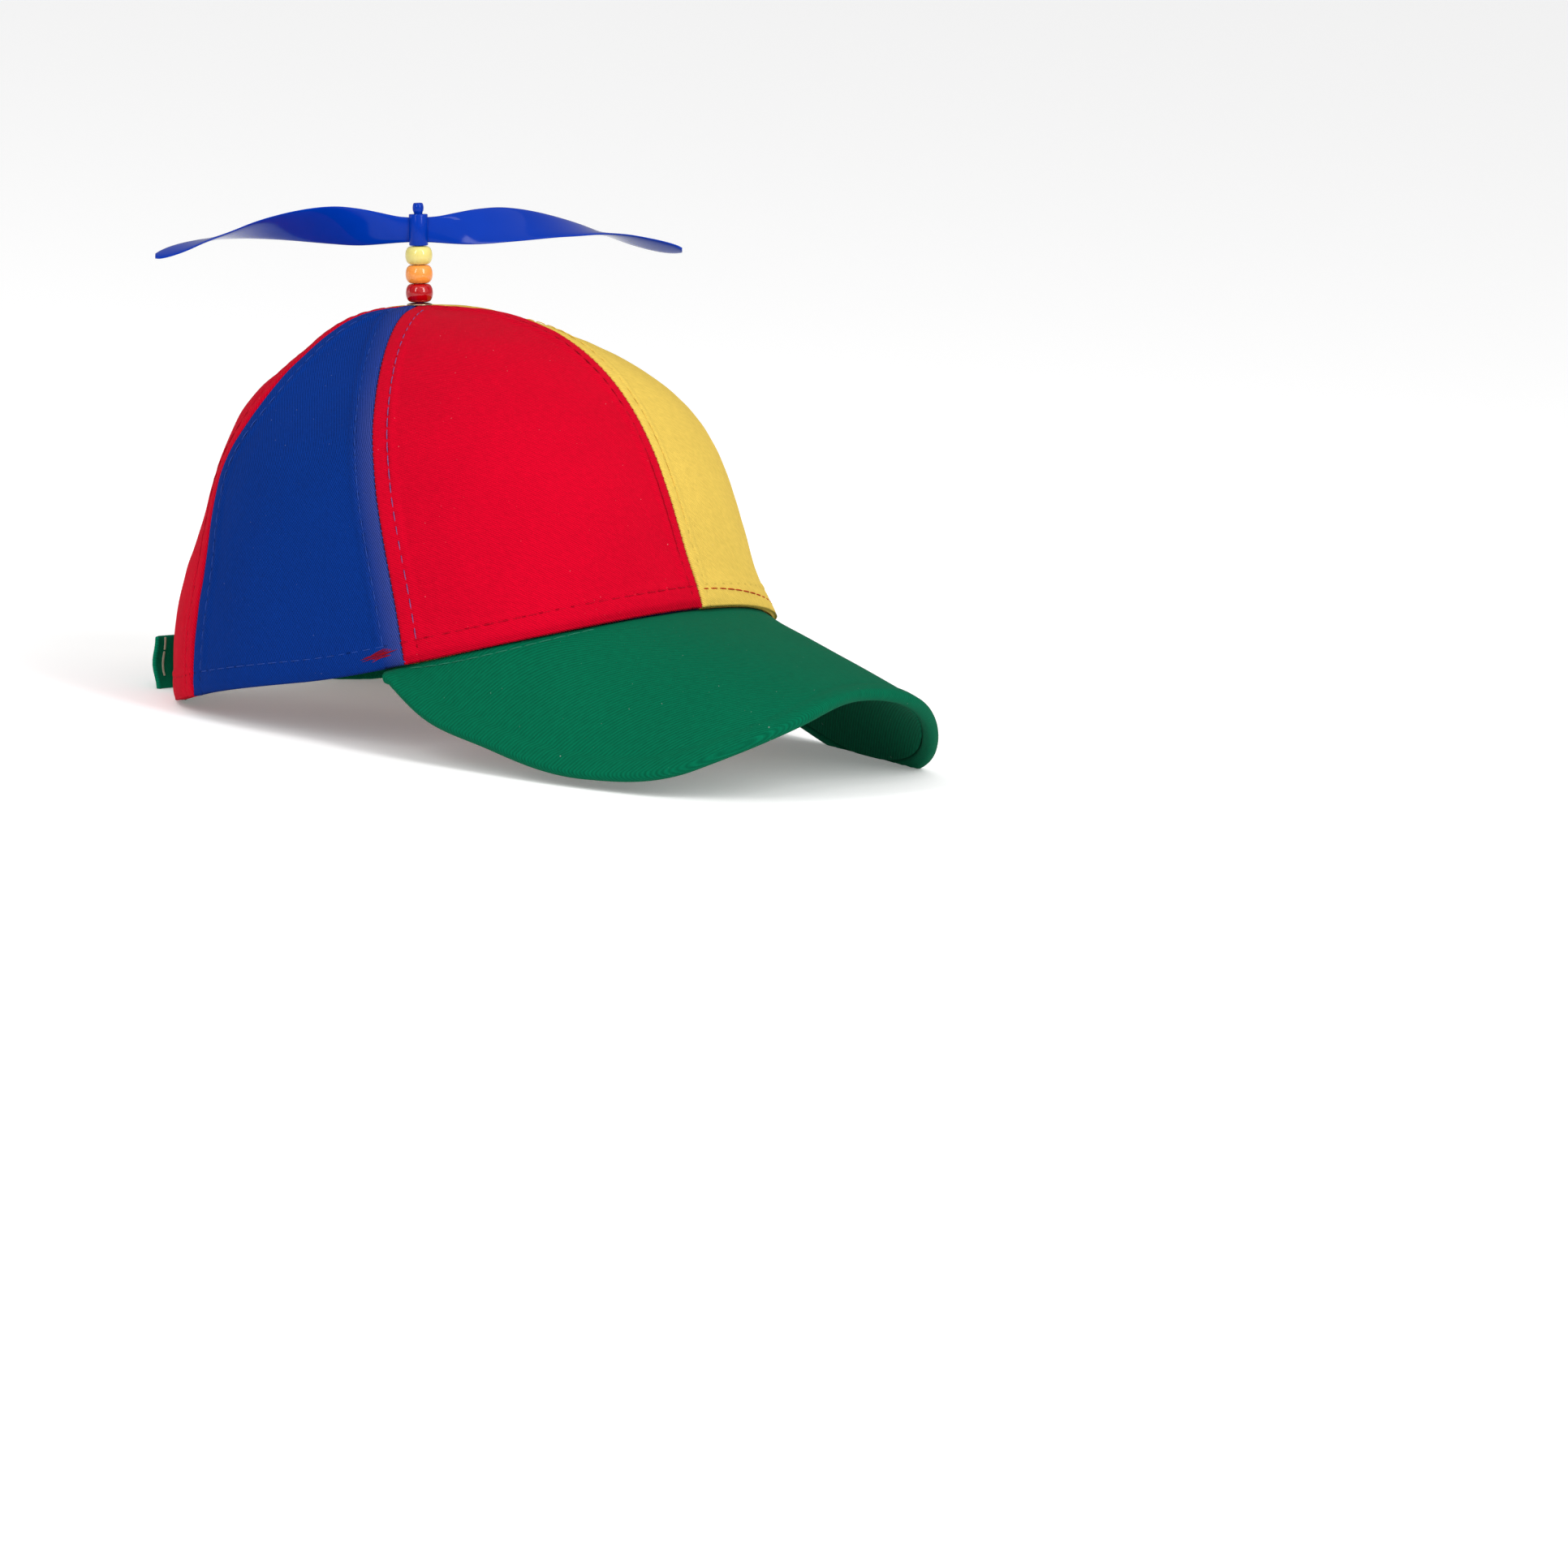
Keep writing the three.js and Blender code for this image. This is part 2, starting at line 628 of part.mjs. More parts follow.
function eyelet() {
  const barrel = EYELET_BORE_RADIUS + EYELET_WALL;
  const lip = -CROWN_CLOTH - CLEARANCE;
  return turned([
    [EYELET_BORE_RADIUS, lip - EYELET_WALL],
    [barrel + EYELET_LIP, lip - EYELET_WALL],
    [barrel + EYELET_LIP, lip],
    [barrel, lip],
    [barrel, CLEARANCE],
    [EYELET_RADIUS, CLEARANCE],
    [EYELET_RADIUS, CLEARANCE + EYELET_FLANGE / 2],
    [lerp(EYELET_RADIUS, barrel, EYELET_SHOULDER), CLEARANCE + EYELET_FLANGE + EYELET_DOME / 2],
    [barrel, flangeTop],
    [EYELET_BORE_RADIUS, flangeTop],
  ], ROUND_SEGMENTS);
}

// A rounded barrel with a straight bore.
function bead() {
  const half = BEAD_HEIGHT / 2;
  const bulge = BEAD_RADIUS - BEAD_BORE_RADIUS;
  const profile = [[BEAD_BORE_RADIUS, -half]];
  for (const share of steps(BEAD_STEPS)) {
    const angle = lerp(-Math.PI / 2, Math.PI / 2, share);
    const radius = BEAD_BORE_RADIUS + bulge * Math.abs(Math.cos(angle)) ** BEAD_BULGE_POWER;
    if (radius > BEAD_BORE_RADIUS + BEAD_LAND) profile.push([radius, half * Math.sin(angle)]);
  }
  profile.push([BEAD_BORE_RADIUS, half]);
  return turned(profile, BEAD_SEGMENTS);
}

function stem() {
  const footTop = -CROWN_CLOTH - 2 * CLEARANCE - EYELET_WALL;
  const head = hubSeat + HUB_HEIGHT + CLEARANCE;
  const top = head + STEM_HEAD_HEIGHT;
  const body = turned([
    [0, footTop - STEM_FOOT_THICKNESS],
    [STEM_FOOT_RADIUS, footTop - STEM_FOOT_THICKNESS],
    [STEM_FOOT_RADIUS, footTop],
    [STEM_RADIUS, footTop],
    [STEM_RADIUS, head],
    ...STEM_HEAD_ROWS.map(({ up, radius }) => [STEM_HEAD_RADIUS * radius, head + STEM_HEAD_HEIGHT * up]),
    [0, top],
  ], ROUND_SEGMENTS);
  const slot = new THREE.BoxGeometry(STEM_SLOT_WIDTH, 3 * STEM_HEAD_RADIUS, 2 * STEM_SLOT_DEPTH);
  return cut(body, closed(slot.translate(0, 0, top)));
}

const bladeCurve = {
  reach: rowCurve(BLADE_ROWS, "reach"),
  chord: rowCurve(BLADE_ROWS, "chord"),
  pitch: rowCurve(BLADE_ROWS, "pitch"),
  lift: rowCurve(BLADE_ROWS, "lift"),
};

// One section of a blade: a thin lens of the row's chord, pitched about the blade's own line.
function bladeSection(share) {
  const reach = PROPELLER_REACH * bladeCurve.reach(share);
  const chord = BLADE_CHORD * bladeCurve.chord(share);
  const pitch = degToRad(bladeCurve.pitch(share));
  const lift = BLADE_DROOP * bladeCurve.lift(share);
  const ring = [];
  for (let i = 0; i < BLADE_SIDES; i++) {
    const angle = (i / BLADE_SIDES) * 2 * Math.PI;
    const along = (chord / 2) * Math.cos(angle);
    const through = (BLADE_THICKNESS / 2) * Math.sin(angle);
    const y = along * Math.cos(pitch) - through * Math.sin(pitch);
    const z = along * Math.sin(pitch) + through * Math.cos(pitch) + lift;
    ring.push(new THREE.Vector3(reach, y, z));
  }
  return ring;
}

// Hub and two blades in one piece, about the hub's middle.
function propeller() {
  const half = HUB_HEIGHT / 2;
  const hub = turned([
    [HUB_BORE_RADIUS, -half],
    [HUB_RADIUS, -half],
    [HUB_RADIUS, half],
    [HUB_BORE_RADIUS, half],
  ], ROUND_SEGMENTS);
  const blade = loft(steps(BLADE_STEPS).map(bladeSection));
  const opposite = closed(blade.clone().rotateZ(Math.PI));
  return join(join(hub, blade), opposite);
}

// Assembly
function piece(name, geometry, colour) {
  const mesh = new THREE.Mesh(geometry, new THREE.MeshStandardMaterial({ ...COLOURS[colour] }));
  mesh.name = name;
  return mesh;
}

// The rest pose: the tilt about X at which the rear rim, pressed flat by a little, and the peak's two
// lobes reach the same level.
function lowest(geometries, tilt) {
  let level = Infinity;
  for (const { attributes } of geometries) {
    const at = attributes.position;
    for (let i = 0; i < at.count; i++) {
      level = Math.min(level, at.getY(i) * Math.sin(tilt) + at.getZ(i) * Math.cos(tilt));
    }
  }
  return level;
}

function restTilt(rear, front) {
  let [low, high] = [degToRad(-45), 0];
  for (let i = 0; i < HALVINGS; i++) {
    const tilt = (low + high) / 2;
    if (lowest(front, tilt) > lowest(rear, tilt) + REST_FLAT) low = tilt;
    else high = tilt;
  }
  return (low + high) / 2;
}

// A block below the surface that the cap rests on, in the crown's own frame.
function belowRest(tilt, level) {
  const size = 4 * (CROWN_FRONT_LENGTH + CROWN_REAR_LENGTH);
  const block = new THREE.BoxGeometry(size, size, size).translate(0, 0, level - size / 2);
  return closed(block.rotateX(-tilt));
}

const opening = rearOpening();
const shapes = {
  panel_front_right: panel(frontSeam, sideSeam, 1),
  panel_side_right: panel(sideSeam, rearSideSeam, 1),
  panel_rear_right: cut(panel(rearSideSeam, rearSeam, 1), opening),
  panel_front_left: panel(frontSeam, sideSeam, -1),
  panel_side_left: panel(sideSeam, rearSideSeam, -1),
  panel_rear_left: cut(panel(rearSideSeam, rearSeam, -1), opening),
  peak: peak(),
  peak_lining: peakLining(),
  strap_right: strap(RIGHT_STRAP_ROWS, 1, rightOffset),
  strap_left: strap(LEFT_STRAP_ROWS, -1, leftOffset),
  strap_fastener: pad(),
};
const tilt = restTilt([shapes.panel_rear_right, shapes.panel_rear_left], [shapes.peak]);
const floor = lowest([shapes.peak], tilt);
const below = belowRest(tilt, floor);
const PRESSED = [
  "panel_side_right",
  "panel_side_left",
  "panel_rear_right",
  "panel_rear_left",
  "strap_right",
  "strap_left",
  "strap_fastener",
];
for (const name of PRESSED) shapes[name] = cut(shapes[name], below);

const CLOTH_COLOURS = {
  panel_front_right: "red",
  panel_side_right: "blue",
  panel_rear_right: "red",
  panel_front_left: "yellow",
  panel_side_left: "blue",
  panel_rear_left: "yellow",
  peak: "green",
  peak_lining: "green",
  strap_right: "green",
  strap_left: "green",
  strap_fastener: "fastener",
};
const crown = new THREE.Group();
for (const [name, colour] of Object.entries(CLOTH_COLOURS)) crown.add(piece(name, shapes[name], colour));

// The stem leans forward from the crown's upright, with the beads and the propeller on it.
const mast = new THREE.Group();
mast.rotation.x = degToRad(STEM_LEAN);
mast.add(piece("eyelet", eyelet(), "brass"));
mast.add(piece("stem", stem(), "plastic"));
const BEADS = [
  { name: "bead_red", colour: "beadRed" },
  { name: "bead_orange", colour: "beadOrange" },
  { name: "bead_yellow", colour: "beadYellow" },
];
BEADS.forEach(({ name, colour }, index) => {
  const mesh = piece(name, bead(), colour);
  mesh.position.z = flangeTop + CLEARANCE + BEAD_HEIGHT / 2 + index * beadPitch;
  mast.add(mesh);
});
const spinner = piece("propeller", propeller(), "plastic");
spinner.position.z = hubSeat + HUB_HEIGHT / 2;
spinner.rotation.z = degToRad(PROPELLER_TURN);
mast.add(spinner);

const cap = new THREE.Group();
cap.add(crown, mast);
cap.rotation.x = tilt;
cap.updateMatrixWorld(true);
const middle = new THREE.Box3().setFromObject(cap, true).getCenter(new THREE.Vector3());
cap.position.set(-middle.x, -middle.y, -floor);
cap.updateMatrixWorld(true);

export default cap;
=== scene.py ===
import json
import math

import bmesh
import bpy
import numpy as np
from mathutils import Matrix, Vector


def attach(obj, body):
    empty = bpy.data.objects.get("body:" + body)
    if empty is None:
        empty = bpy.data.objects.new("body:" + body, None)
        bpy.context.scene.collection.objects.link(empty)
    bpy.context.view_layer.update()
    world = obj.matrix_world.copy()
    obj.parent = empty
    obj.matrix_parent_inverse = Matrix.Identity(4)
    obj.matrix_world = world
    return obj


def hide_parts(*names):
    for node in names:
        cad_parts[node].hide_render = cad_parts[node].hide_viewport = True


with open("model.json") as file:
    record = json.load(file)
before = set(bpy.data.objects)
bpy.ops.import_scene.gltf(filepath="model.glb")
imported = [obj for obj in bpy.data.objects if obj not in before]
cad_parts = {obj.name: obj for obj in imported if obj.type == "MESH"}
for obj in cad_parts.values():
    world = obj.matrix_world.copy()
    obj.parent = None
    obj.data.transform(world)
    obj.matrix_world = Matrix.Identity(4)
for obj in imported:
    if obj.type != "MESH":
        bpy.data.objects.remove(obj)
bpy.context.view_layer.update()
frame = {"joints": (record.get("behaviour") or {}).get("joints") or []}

# Sizes of the cap in millimetres, about the stem hole: +X the wearer's left, -Y the front, +Z up
MM = 0.001
FRONT_LENGTH = 106.0
REAR_LENGTH = 88.5
HALF_WIDTH = 84.5
FRONT_HEIGHT = 107.5
SIDE_HEIGHT = 119.5
REAR_HEIGHT = 122.0
FRONT_SQUARENESS = 2.6
REAR_SQUARENESS = 2.45
TOP_LEAN_POWER = 12
SEAM_RIDGE = 0.025
PANEL_COUNT = 6
CLOTH = 1.6
HOLE_RADIUS = 3.1

OPENING_HALF_WIDTH = 42.0
OPENING_HEIGHT = 49.0
OPENING_STRAIGHT = 12.0

PEAK_LENGTH = 64.0
PEAK_CORNER_TURN = 70.0
PEAK_SLOPE = 25.0
PEAK_SIDE_STEEPENING = 0.52
PEAK_DROP = 57.5
PEAK_DROP_POWER = 2.8
PEAK_CORNER_FALL = 0.3
PEAK_BOARD = 2.4
PEAK_EDGE_THICKNESS = 4.0
PEAK_EDGE_WIDTH = 4.0
PEAK_TUCK = 1.0
PEAK_LINING_CLOTH = 1.0
PEAK_EDGE_FULL_AT = 16.0
CLEARANCE = 0.3
LEAST_HEIGHT = 0.0001

STRAP_HEIGHT = 20.0
STRAP_LIFT = 0.5
STRAP_BOW = 9.0
SEWN = -CLOTH - 2 * CLEARANCE
STRAP_SLACK = 0.45

STEM_LEAN = 5.8
BEAD_RADIUS = 4.5
BEAD_HEIGHT = 5.9
BEAD_BORE_RADIUS = 1.8
HUB_RADIUS = 3.15
HUB_HEIGHT = 10.4
EYELET_TOP = 1.1
HUB_SEAT = EYELET_TOP + CLEARANCE + 3 * (BEAD_HEIGHT + CLEARANCE)
PROPELLER_REACH = 87.0
BLADE_CHORD = 18.0
BLADE_DROOP = 8.0
BLADE_THICKNESS = 1.2
PROPELLER_TURN = -52.0


def table(columns, *rows):
    """Rows of values under named columns."""
    return [dict(zip(columns.split(), row)) for row in rows]


# Reach of the crown at each rise from the rim to the stem hole, as shares of its lengths
CROWN_ROWS = table("rise front side rear",
    (0, 1.0, 1.0, 1.0),
    (10, 0.955, 0.98, 0.985),
    (20, 0.912, 0.955, 0.89),
    (30, 0.857, 0.91, 0.765),
    (40, 0.78, 0.82, 0.705),
    (50, 0.675, 0.665, 0.64),
    (60, 0.535, 0.505, 0.52),
    (70, 0.35, 0.355, 0.36),
    (80, 0.165, 0.2, 0.195),
    (90, 0.0, 0.0, 0.0),
)

# Where the cloth of the crown stands out or sinks: places in degrees, turns to the wearer's left below 0
CROWN_SWELLS = table("turn rise wide tall out",
    (0, 68, 11, 13, 1.8),
    (-34, 60, 20, 11, -2.0),
    (-36, 29, 22, 12, 1.3),
    (142, 64, 22, 7, -1.4),
    (142, 50, 16, 7, 0.9),
    (146, 26, 18, 5, -0.9),
    (-142, 40, 18, 12, -0.8),
    (-95, 48, 16, 14, 0.7),
    (-40, -1, 15, 2.8, 3.0),
    (-40, 8, 15, 4, -0.7),
)

# Where the rim hangs lower than a level rim
RIM_FALLS = table("turn wide down", (-40, 17, 2.6), (133, 13, 1.3))

# The swells fade away this near to the rear seam, in degrees
REAR_CALM = 20.0

# Reach of the peak beyond the rim, at shares of the turn to its right and its left corner
PEAK_ROWS = table("turn right left",
    (0, 1.0, 1.0),
    (1 / 6, 1.034, 1.0),
    (2 / 6, 0.812, 0.855),
    (3 / 6, 0.498, 0.58),
    (4 / 6, 0.266, 0.31),
    (5 / 6, 0.154, 0.15),
    (1, 0.03, 0.03),
)
PEAK_CORNER_SHARE = 0.94
PEAK_FRONT_FALL = {"across": -0.1, "wide": 0.45, "down": 2.4}

# Bow of each strap band beyond the crown, at turns from the front round the band's own side
RIGHT_STRAP_ROWS = table("turn bow", (138, 0), (155, 0), (161, 0.45), (166, 0.68), (176, 0.7), (190, 0.62))
LEFT_STRAP_ROWS = table("turn bow",
    (138, 0), (155, 0), (161, 0.6), (166, 1.0), (176, 1.12), (186, 1.1), (194, 1.08), (199, 1.1), (203.5, 1.27),
)

# The blades from the hub to the tip: reach, chord and lift as shares, and pitch in degrees. The first blade
# has the columns with a 1 and the second those with a 2.
BLADE_ROWS = table("reach chord pitch_1 lift_1 pitch_2 lift_2",
    (0.026, 0.46, 84, 0.0, 84, 0.0),
    (0.08, 0.5, 80, 0.0, 82, 0.02),
    (0.15, 0.62, 68, 0.04, 75, 0.08),
    (0.23, 0.78, 54, 0.1, 64, 0.15),
    (0.32, 0.92, 42, 0.15, 52, 0.23),
    (0.42, 0.99, 31, 0.12, 41, 0.24),
    (0.52, 1.0, 20, 0.03, 31, 0.19),
    (0.62, 0.97, 9, -0.12, 21, 0.07),
    (0.71, 0.88, -4, -0.3, 11, -0.11),
    (0.8, 0.8, -15, -0.53, 0, -0.3),
    (0.88, 0.72, -20, -0.74, -10, -0.55),
    (0.94, 0.6, -22, -0.88, -15, -0.74),
    (0.98, 0.42, -22, -0.96, -17, -0.87),
    (1, 0.2, -22, -1.0, -17, -0.93),
)

# Turn of each seam of the crown from the rim to the top
SEAMS = {
    "front": table("rise turn", (0, 0), (60, 0), (68, -2), (76, -9), (90, -12)),
    "side": table("rise turn", (0, 61.3), (30, 65.4), (60, 68.4), (90, 69.5)),
    "rear_side": table("rise turn",
        (0, 123.5), (10, 121.5), (20, 119.5), (28, 120.5), (36, 121.5), (44, 120), (52, 118.5), (60, 119.5),
        (70, 121), (90, 121),
    ),
    "rear": table("rise turn", (0, 180), (90, 180)),
}

SEAMS["front_mirrored"] = [dict(row, turn=-row["turn"]) for row in SEAMS["front"]]

# Cloth of each panel: its seams, the distance of the stitch row beside each, the lean of its ribs and
# how far its rim rolls in
PANELS = table("name side seams rows cloth ribs roll",
    ("front_right", 1, ("front", "side"), (4.0, 5.4), "red", -38, 1.5),
    ("front_left", -1, ("front_mirrored", "side"), (4.0, 5.4), "yellow", -38, 0.3),
    ("side_right", 1, ("side", "rear_side"), (6.5, 5.4), "blue", -62, 1.2),
    ("side_left", -1, ("side", "rear_side"), (6.5, 5.4), "blue", -30, 1.2),
    ("rear_right", 1, ("rear_side", "rear"), (5.4, 4.0), "red", -50, 0.6),
    ("rear_left", -1, ("rear_side", "rear"), (5.4, 4.0), "yellow", -40, 0.6),
)
RIM_ROW = 7.0
ARCH_ROW = 6.0
STITCH_PITCH = 4.9
SEAM_INSET = 0.1
SEAM_BULGE = 0.095
RIM_BULGE = 0.6
CLOTH_WAY_SHARE = 0.97

# The cloth over its allowances: how far it stands out, how far beyond the stitch row, and how softly it ends
SEAM_PAD = {"out": 0.6, "beyond": 1.2, "fade": 2.0}
RIM_PAD = {"out": 0.5, "beyond": 1.0, "fade": 1.6}
ARCH_PAD = {"out": 0.4, "beyond": 1.0, "fade": 1.4}
ROW_SINK = {"down": 0.2, "wide": 0.8}
ARCH_SINK = {"down": 0.24, "wide": 0.8}
PUCKERS = {"down": 0.1, "wide": 2.2}

# Rows of thread that differ from the common stitch
RUST_ROW = {"height": 5.8, "fall": 2.6, "length": 4.8, "radius": 0.24, "proud": 0.3}
SEAM_TICKS = {"distance": 0.0, "proud": -0.1, "pitch": 2.3, "length": 1.5, "radius": 0.2, "lean": 52.0}
TAPE_TURNS = (201.55, 201.9)
TAPE_SPANS = ((0.37, 0.76), (0.8, 0.995))
PAD_TURNS = (165, 183)

# The cap lies tilted back about X. The stem's joint in the frame gives the tilt and the stem hole's place.
STEM_AXIS = Vector(frame["joints"][0]["axis"]).normalized()
STEM_TILT = math.atan2(-STEM_AXIS.y, STEM_AXIS.z)
CAP_TILT = STEM_TILT - math.radians(STEM_LEAN)
STEM_HOLE = Vector(frame["joints"][0]["pos_m"]) - STEM_AXIS * (HUB_SEAT + HUB_HEIGHT / 2) * MM
CROWN_TO_ROW = np.array(Matrix.Rotation(CAP_TILT, 3, "X"))
STEM_TO_ROW = np.array(Matrix.Rotation(STEM_TILT, 3, "X"))


def crown_to_row(points):
    return points @ CROWN_TO_ROW.T * MM + np.array(STEM_HOLE)


def stem_to_row(points):
    return points @ STEM_TO_ROW.T * MM + np.array(STEM_HOLE)


def above_floor(points):
    """Places of the crown in the row's frame, none of them under the floor."""
    placed = crown_to_row(points)
    placed[:, 2] = np.maximum(placed[:, 2], LEAST_HEIGHT)
    return placed


# Small shapes in numbers
def unit(vectors):
    return vectors / np.maximum(np.linalg.norm(vectors, axis=-1, keepdims=True), 1e-12)


def smooth(values):
    held = np.clip(values, 0, 1)
    return held * held * (3 - 2 * held)


def bell(distance, width):
    return np.exp(-(distance / width) ** 2)


def crowded(count, pull, ends="both"):
    """Shares from 0 to 1 that lie closer together near one end or both."""
    share = np.linspace(0, 1, count)
    if ends == "both":
        return share - pull * np.sin(2 * np.pi * share) / (2 * np.pi)
    return share - pull * np.sin(np.pi * share) / np.pi


def read_table(rows, key, name, at):
    """A smooth curve through one column of a table."""
    keys = np.array([row[key] for row in rows], float)
    values = np.array([row[name] for row in rows], float)
    at = np.asarray(at, float)
    last = len(keys) - 1
    row = np.clip(np.searchsorted(keys, at, side="right") - 1, 0, last - 1)
    share = np.clip((at - keys[row]) / (keys[row + 1] - keys[row]), 0, 1)
    before, start, end, after = (values[np.clip(row + step, 0, last)] for step in (-1, 0, 1, 2))
    lead, trail = (end - before) / 2, (after - start) / 2
    cubic = (2 * start - 2 * end + lead + trail) * share ** 3
    square = (3 * end - 3 * start - 2 * lead - trail) * share ** 2
    return cubic + square + lead * share + start


class Ripple:
    """A soft, repeatable unevenness over points."""

    def __init__(self, seed, length, waves=7):
        chance = np.random.default_rng(seed)
        self.ways = unit(chance.normal(size=(waves, 3))) * 2 * np.pi / (length * chance.uniform(0.7, 1.5, (waves, 1)))
        self.starts = chance.uniform(0, 2 * np.pi, waves)

    def __call__(self, points):
        return np.sin(points @ self.ways.T + self.starts).sum(-1) / math.sqrt(len(self.starts))


# Crown surface
def blend(turn):
    along = np.cos(turn)
    front = np.where(along > 0, along ** 2, 0)
    rear = np.where(along < 0, along ** 2, 0)
    return front, 1 - front - rear, rear


def rim_reach(turn):
    along, across = np.cos(turn), np.sin(turn)
    length = np.where(along > 0, FRONT_LENGTH, REAR_LENGTH)
    power = np.where(along > 0, FRONT_SQUARENESS, REAR_SQUARENESS)
    return (np.abs(along / length) ** power + np.abs(across / HALF_WIDTH) ** power) ** (-1 / power)


def crown_height(turn):
    front, side, rear = blend(turn)
    return front * FRONT_HEIGHT + side * SIDE_HEIGHT + rear * REAR_HEIGHT


def crown_reach(turn, rise):
    degrees = np.degrees(rise)
    shares = zip(blend(turn), ("front", "side", "rear"))
    share = sum(weight * read_table(CROWN_ROWS, "rise", name, degrees) for weight, name in shares)
    ridge = 1 + SEAM_RIDGE * np.cos(PANEL_COUNT * turn) * np.sin(rise) ** 2
    return rim_reach(turn) * share * ridge


def crown_swell(turn, rise):
    total = 0.0
    for swell in CROWN_SWELLS:
        away = bell(np.degrees(turn) - swell["turn"], swell["wide"])
        away = away * bell(np.degrees(rise) - swell["rise"], swell["tall"])
        total = total + swell["out"] * away
    return total * smooth((180 - np.abs(np.degrees(turn))) / REAR_CALM)


def rim_fall(turn, rise):
    fall = sum(row["down"] * bell(np.degrees(turn) - row["turn"], row["wide"]) for row in RIM_FALLS)
    return fall * (1 - smooth(np.degrees(rise) / 12))


def crown_points(turn, rise, side=1):
    """Places on the crown's outside. A turn to the wearer's left is given like one to the right, with side -1."""
    swell = crown_swell(turn * side, rise)
    reach = crown_reach(turn, rise)
    out = reach + swell * np.cos(rise)
    x, y = -out * np.sin(turn), -out * np.cos(turn)
    lean = y * math.tan(math.radians(STEM_LEAN)) * np.sin(rise) ** TOP_LEAN_POWER
    height = -crown_height(turn) * (1 - np.sin(rise)) + lean + swell * np.sin(rise) - rim_fall(turn * side, rise)
    return np.stack([x, y, height], -1)


def crown_normals(turn, rise, side=1, step=2e-3):
    low = np.maximum(rise - step, 0)
    high = np.minimum(rise + step, math.radians(90) - step)
    across = crown_points(turn + step, rise, side) - crown_points(turn - step, rise, side)
    upwards = crown_points(turn, high, side) - crown_points(turn, low, side)
    return unit(np.cross(upwards, across))


def rise_at_reach(turn, reach):
    low, high = np.zeros_like(turn), np.full_like(turn, math.radians(90))
    for _ in range(40):
        middle = (low + high) / 2
        outside = crown_reach(turn, middle) > reach
        low, high = np.where(outside, middle, low), np.where(outside, high, middle)
    return low


def rise_at_height(turn, above):
    return np.arcsin(np.clip(above / crown_height(turn), 0, 1))


def seam_turn(name, rise):
    return np.radians(read_table(SEAMS[name], "rise", "turn", np.degrees(rise)))


# Making meshes
def add_mesh(name, points, faces, layers=None):
    """A smooth-shaded object from points in the row's frame, with its cloth layers as point attributes."""
    mesh = bpy.data.meshes.new(name)
    mesh.from_pydata(np.asarray(points).tolist(), [], faces.tolist() if isinstance(faces, np.ndarray) else faces)
    for title, values in (layers or {}).items():
        layer = mesh.attributes.new(title, "FLOAT_VECTOR", "POINT")
        layer.data.foreach_set("vector", np.asarray(values, np.float32).ravel())
    mesh.validate()
    mesh.shade_smooth()
    made = bpy.data.objects.new(name, mesh)
    bpy.context.scene.collection.objects.link(made)
    return made


def grid_faces(columns, rows, flip=False):
    index = np.arange(columns * rows).reshape(columns, rows)
    faces = np.stack([index[:-1, :-1], index[1:, :-1], index[1:, 1:], index[:-1, 1:]], -1).reshape(-1, 4)
    return faces[:, ::-1] if flip else faces


def shell(points, normals, faces, thickness, rounding=3, bulge=None):
    """Closes an outer face into cloth of some thickness with a rounded edge. Returns points, faces and
    the outer point that each new point came from. The bulge is how far the edge stands out at each point."""
    count = len(points)
    sides = np.concatenate([faces[:, [a, (a + 1) % 4]] for a in range(4)])
    forward = sides[:, 0] * count + sides[:, 1]
    backward = sides[:, 1] * count + sides[:, 0]
    border = sides[~np.isin(forward, backward)]
    ends = np.unique(border)
    place = np.full(count, -1)
    place[ends] = np.arange(len(ends))
    outward = np.zeros((count, 3))
    for a, b in border:
        away = np.cross(points[b] - points[a], normals[a] + normals[b])
        outward[a] += away
        outward[b] += away
    outward = unit(outward[ends])
    half = thickness / 2
    middle = points[ends] - normals[ends] * half
    reach = half if bulge is None else bulge[ends][:, None]
    rings = []
    for step in range(1, rounding + 1):
        angle = math.pi * step / (rounding + 1)
        rings.append(middle + normals[ends] * (half * math.cos(angle)) + outward * (reach * math.sin(angle)))
    all_points = np.concatenate([points, points - normals * thickness, *rings])
    source = np.concatenate([np.arange(count), np.arange(count), *[ends] * rounding])
    chains = [border, *[place[border] + 2 * count + step * len(ends) for step in range(rounding)], border + count]
    strips = [np.stack([b[:, 1] * 0 + a[:, 1], a[:, 0], b[:, 0], b[:, 1]], -1) for a, b in zip(chains, chains[1:])]
    all_faces = np.concatenate([faces, faces[:, ::-1] + count, *strips])
    return all_points, all_faces, source


def turned(name, profile, segments, to_row):
    """A body turned about the stem's axis from a closed profile of (radius, height) pairs."""
    profile = np.array(profile, float)
    angle = np.arange(segments) / segments * 2 * np.pi
    ring = np.stack([np.cos(angle), np.sin(angle)], -1)
    points = [np.concatenate([ring * radius, np.full((segments, 1), height)], 1) for radius, height in profile]
    faces = []
    count = len(profile)
    for i in range(count):
        j = (i + 1) % count
        for k in range(segments):
            n = (k + 1) % segments
            faces.append((i * segments + k, i * segments + n, j * segments + n, j * segments + k))
    made = add_mesh(name, to_row(np.concatenate(points)), faces)
    tidy_mesh(made)
    return made


def tidy_mesh(made):
    """Merges points that lie together and turns the faces outwards."""
    work = bmesh.new()
    work.from_mesh(made.data)
    bmesh.ops.remove_doubles(work, verts=work.verts, dist=1e-6)
    bmesh.ops.dissolve_degenerate(work, edges=work.edges, dist=1e-6)
    bmesh.ops.recalc_face_normals(work, faces=work.faces)
    work.to_mesh(made.data)
    work.free()
    made.data.shade_smooth()


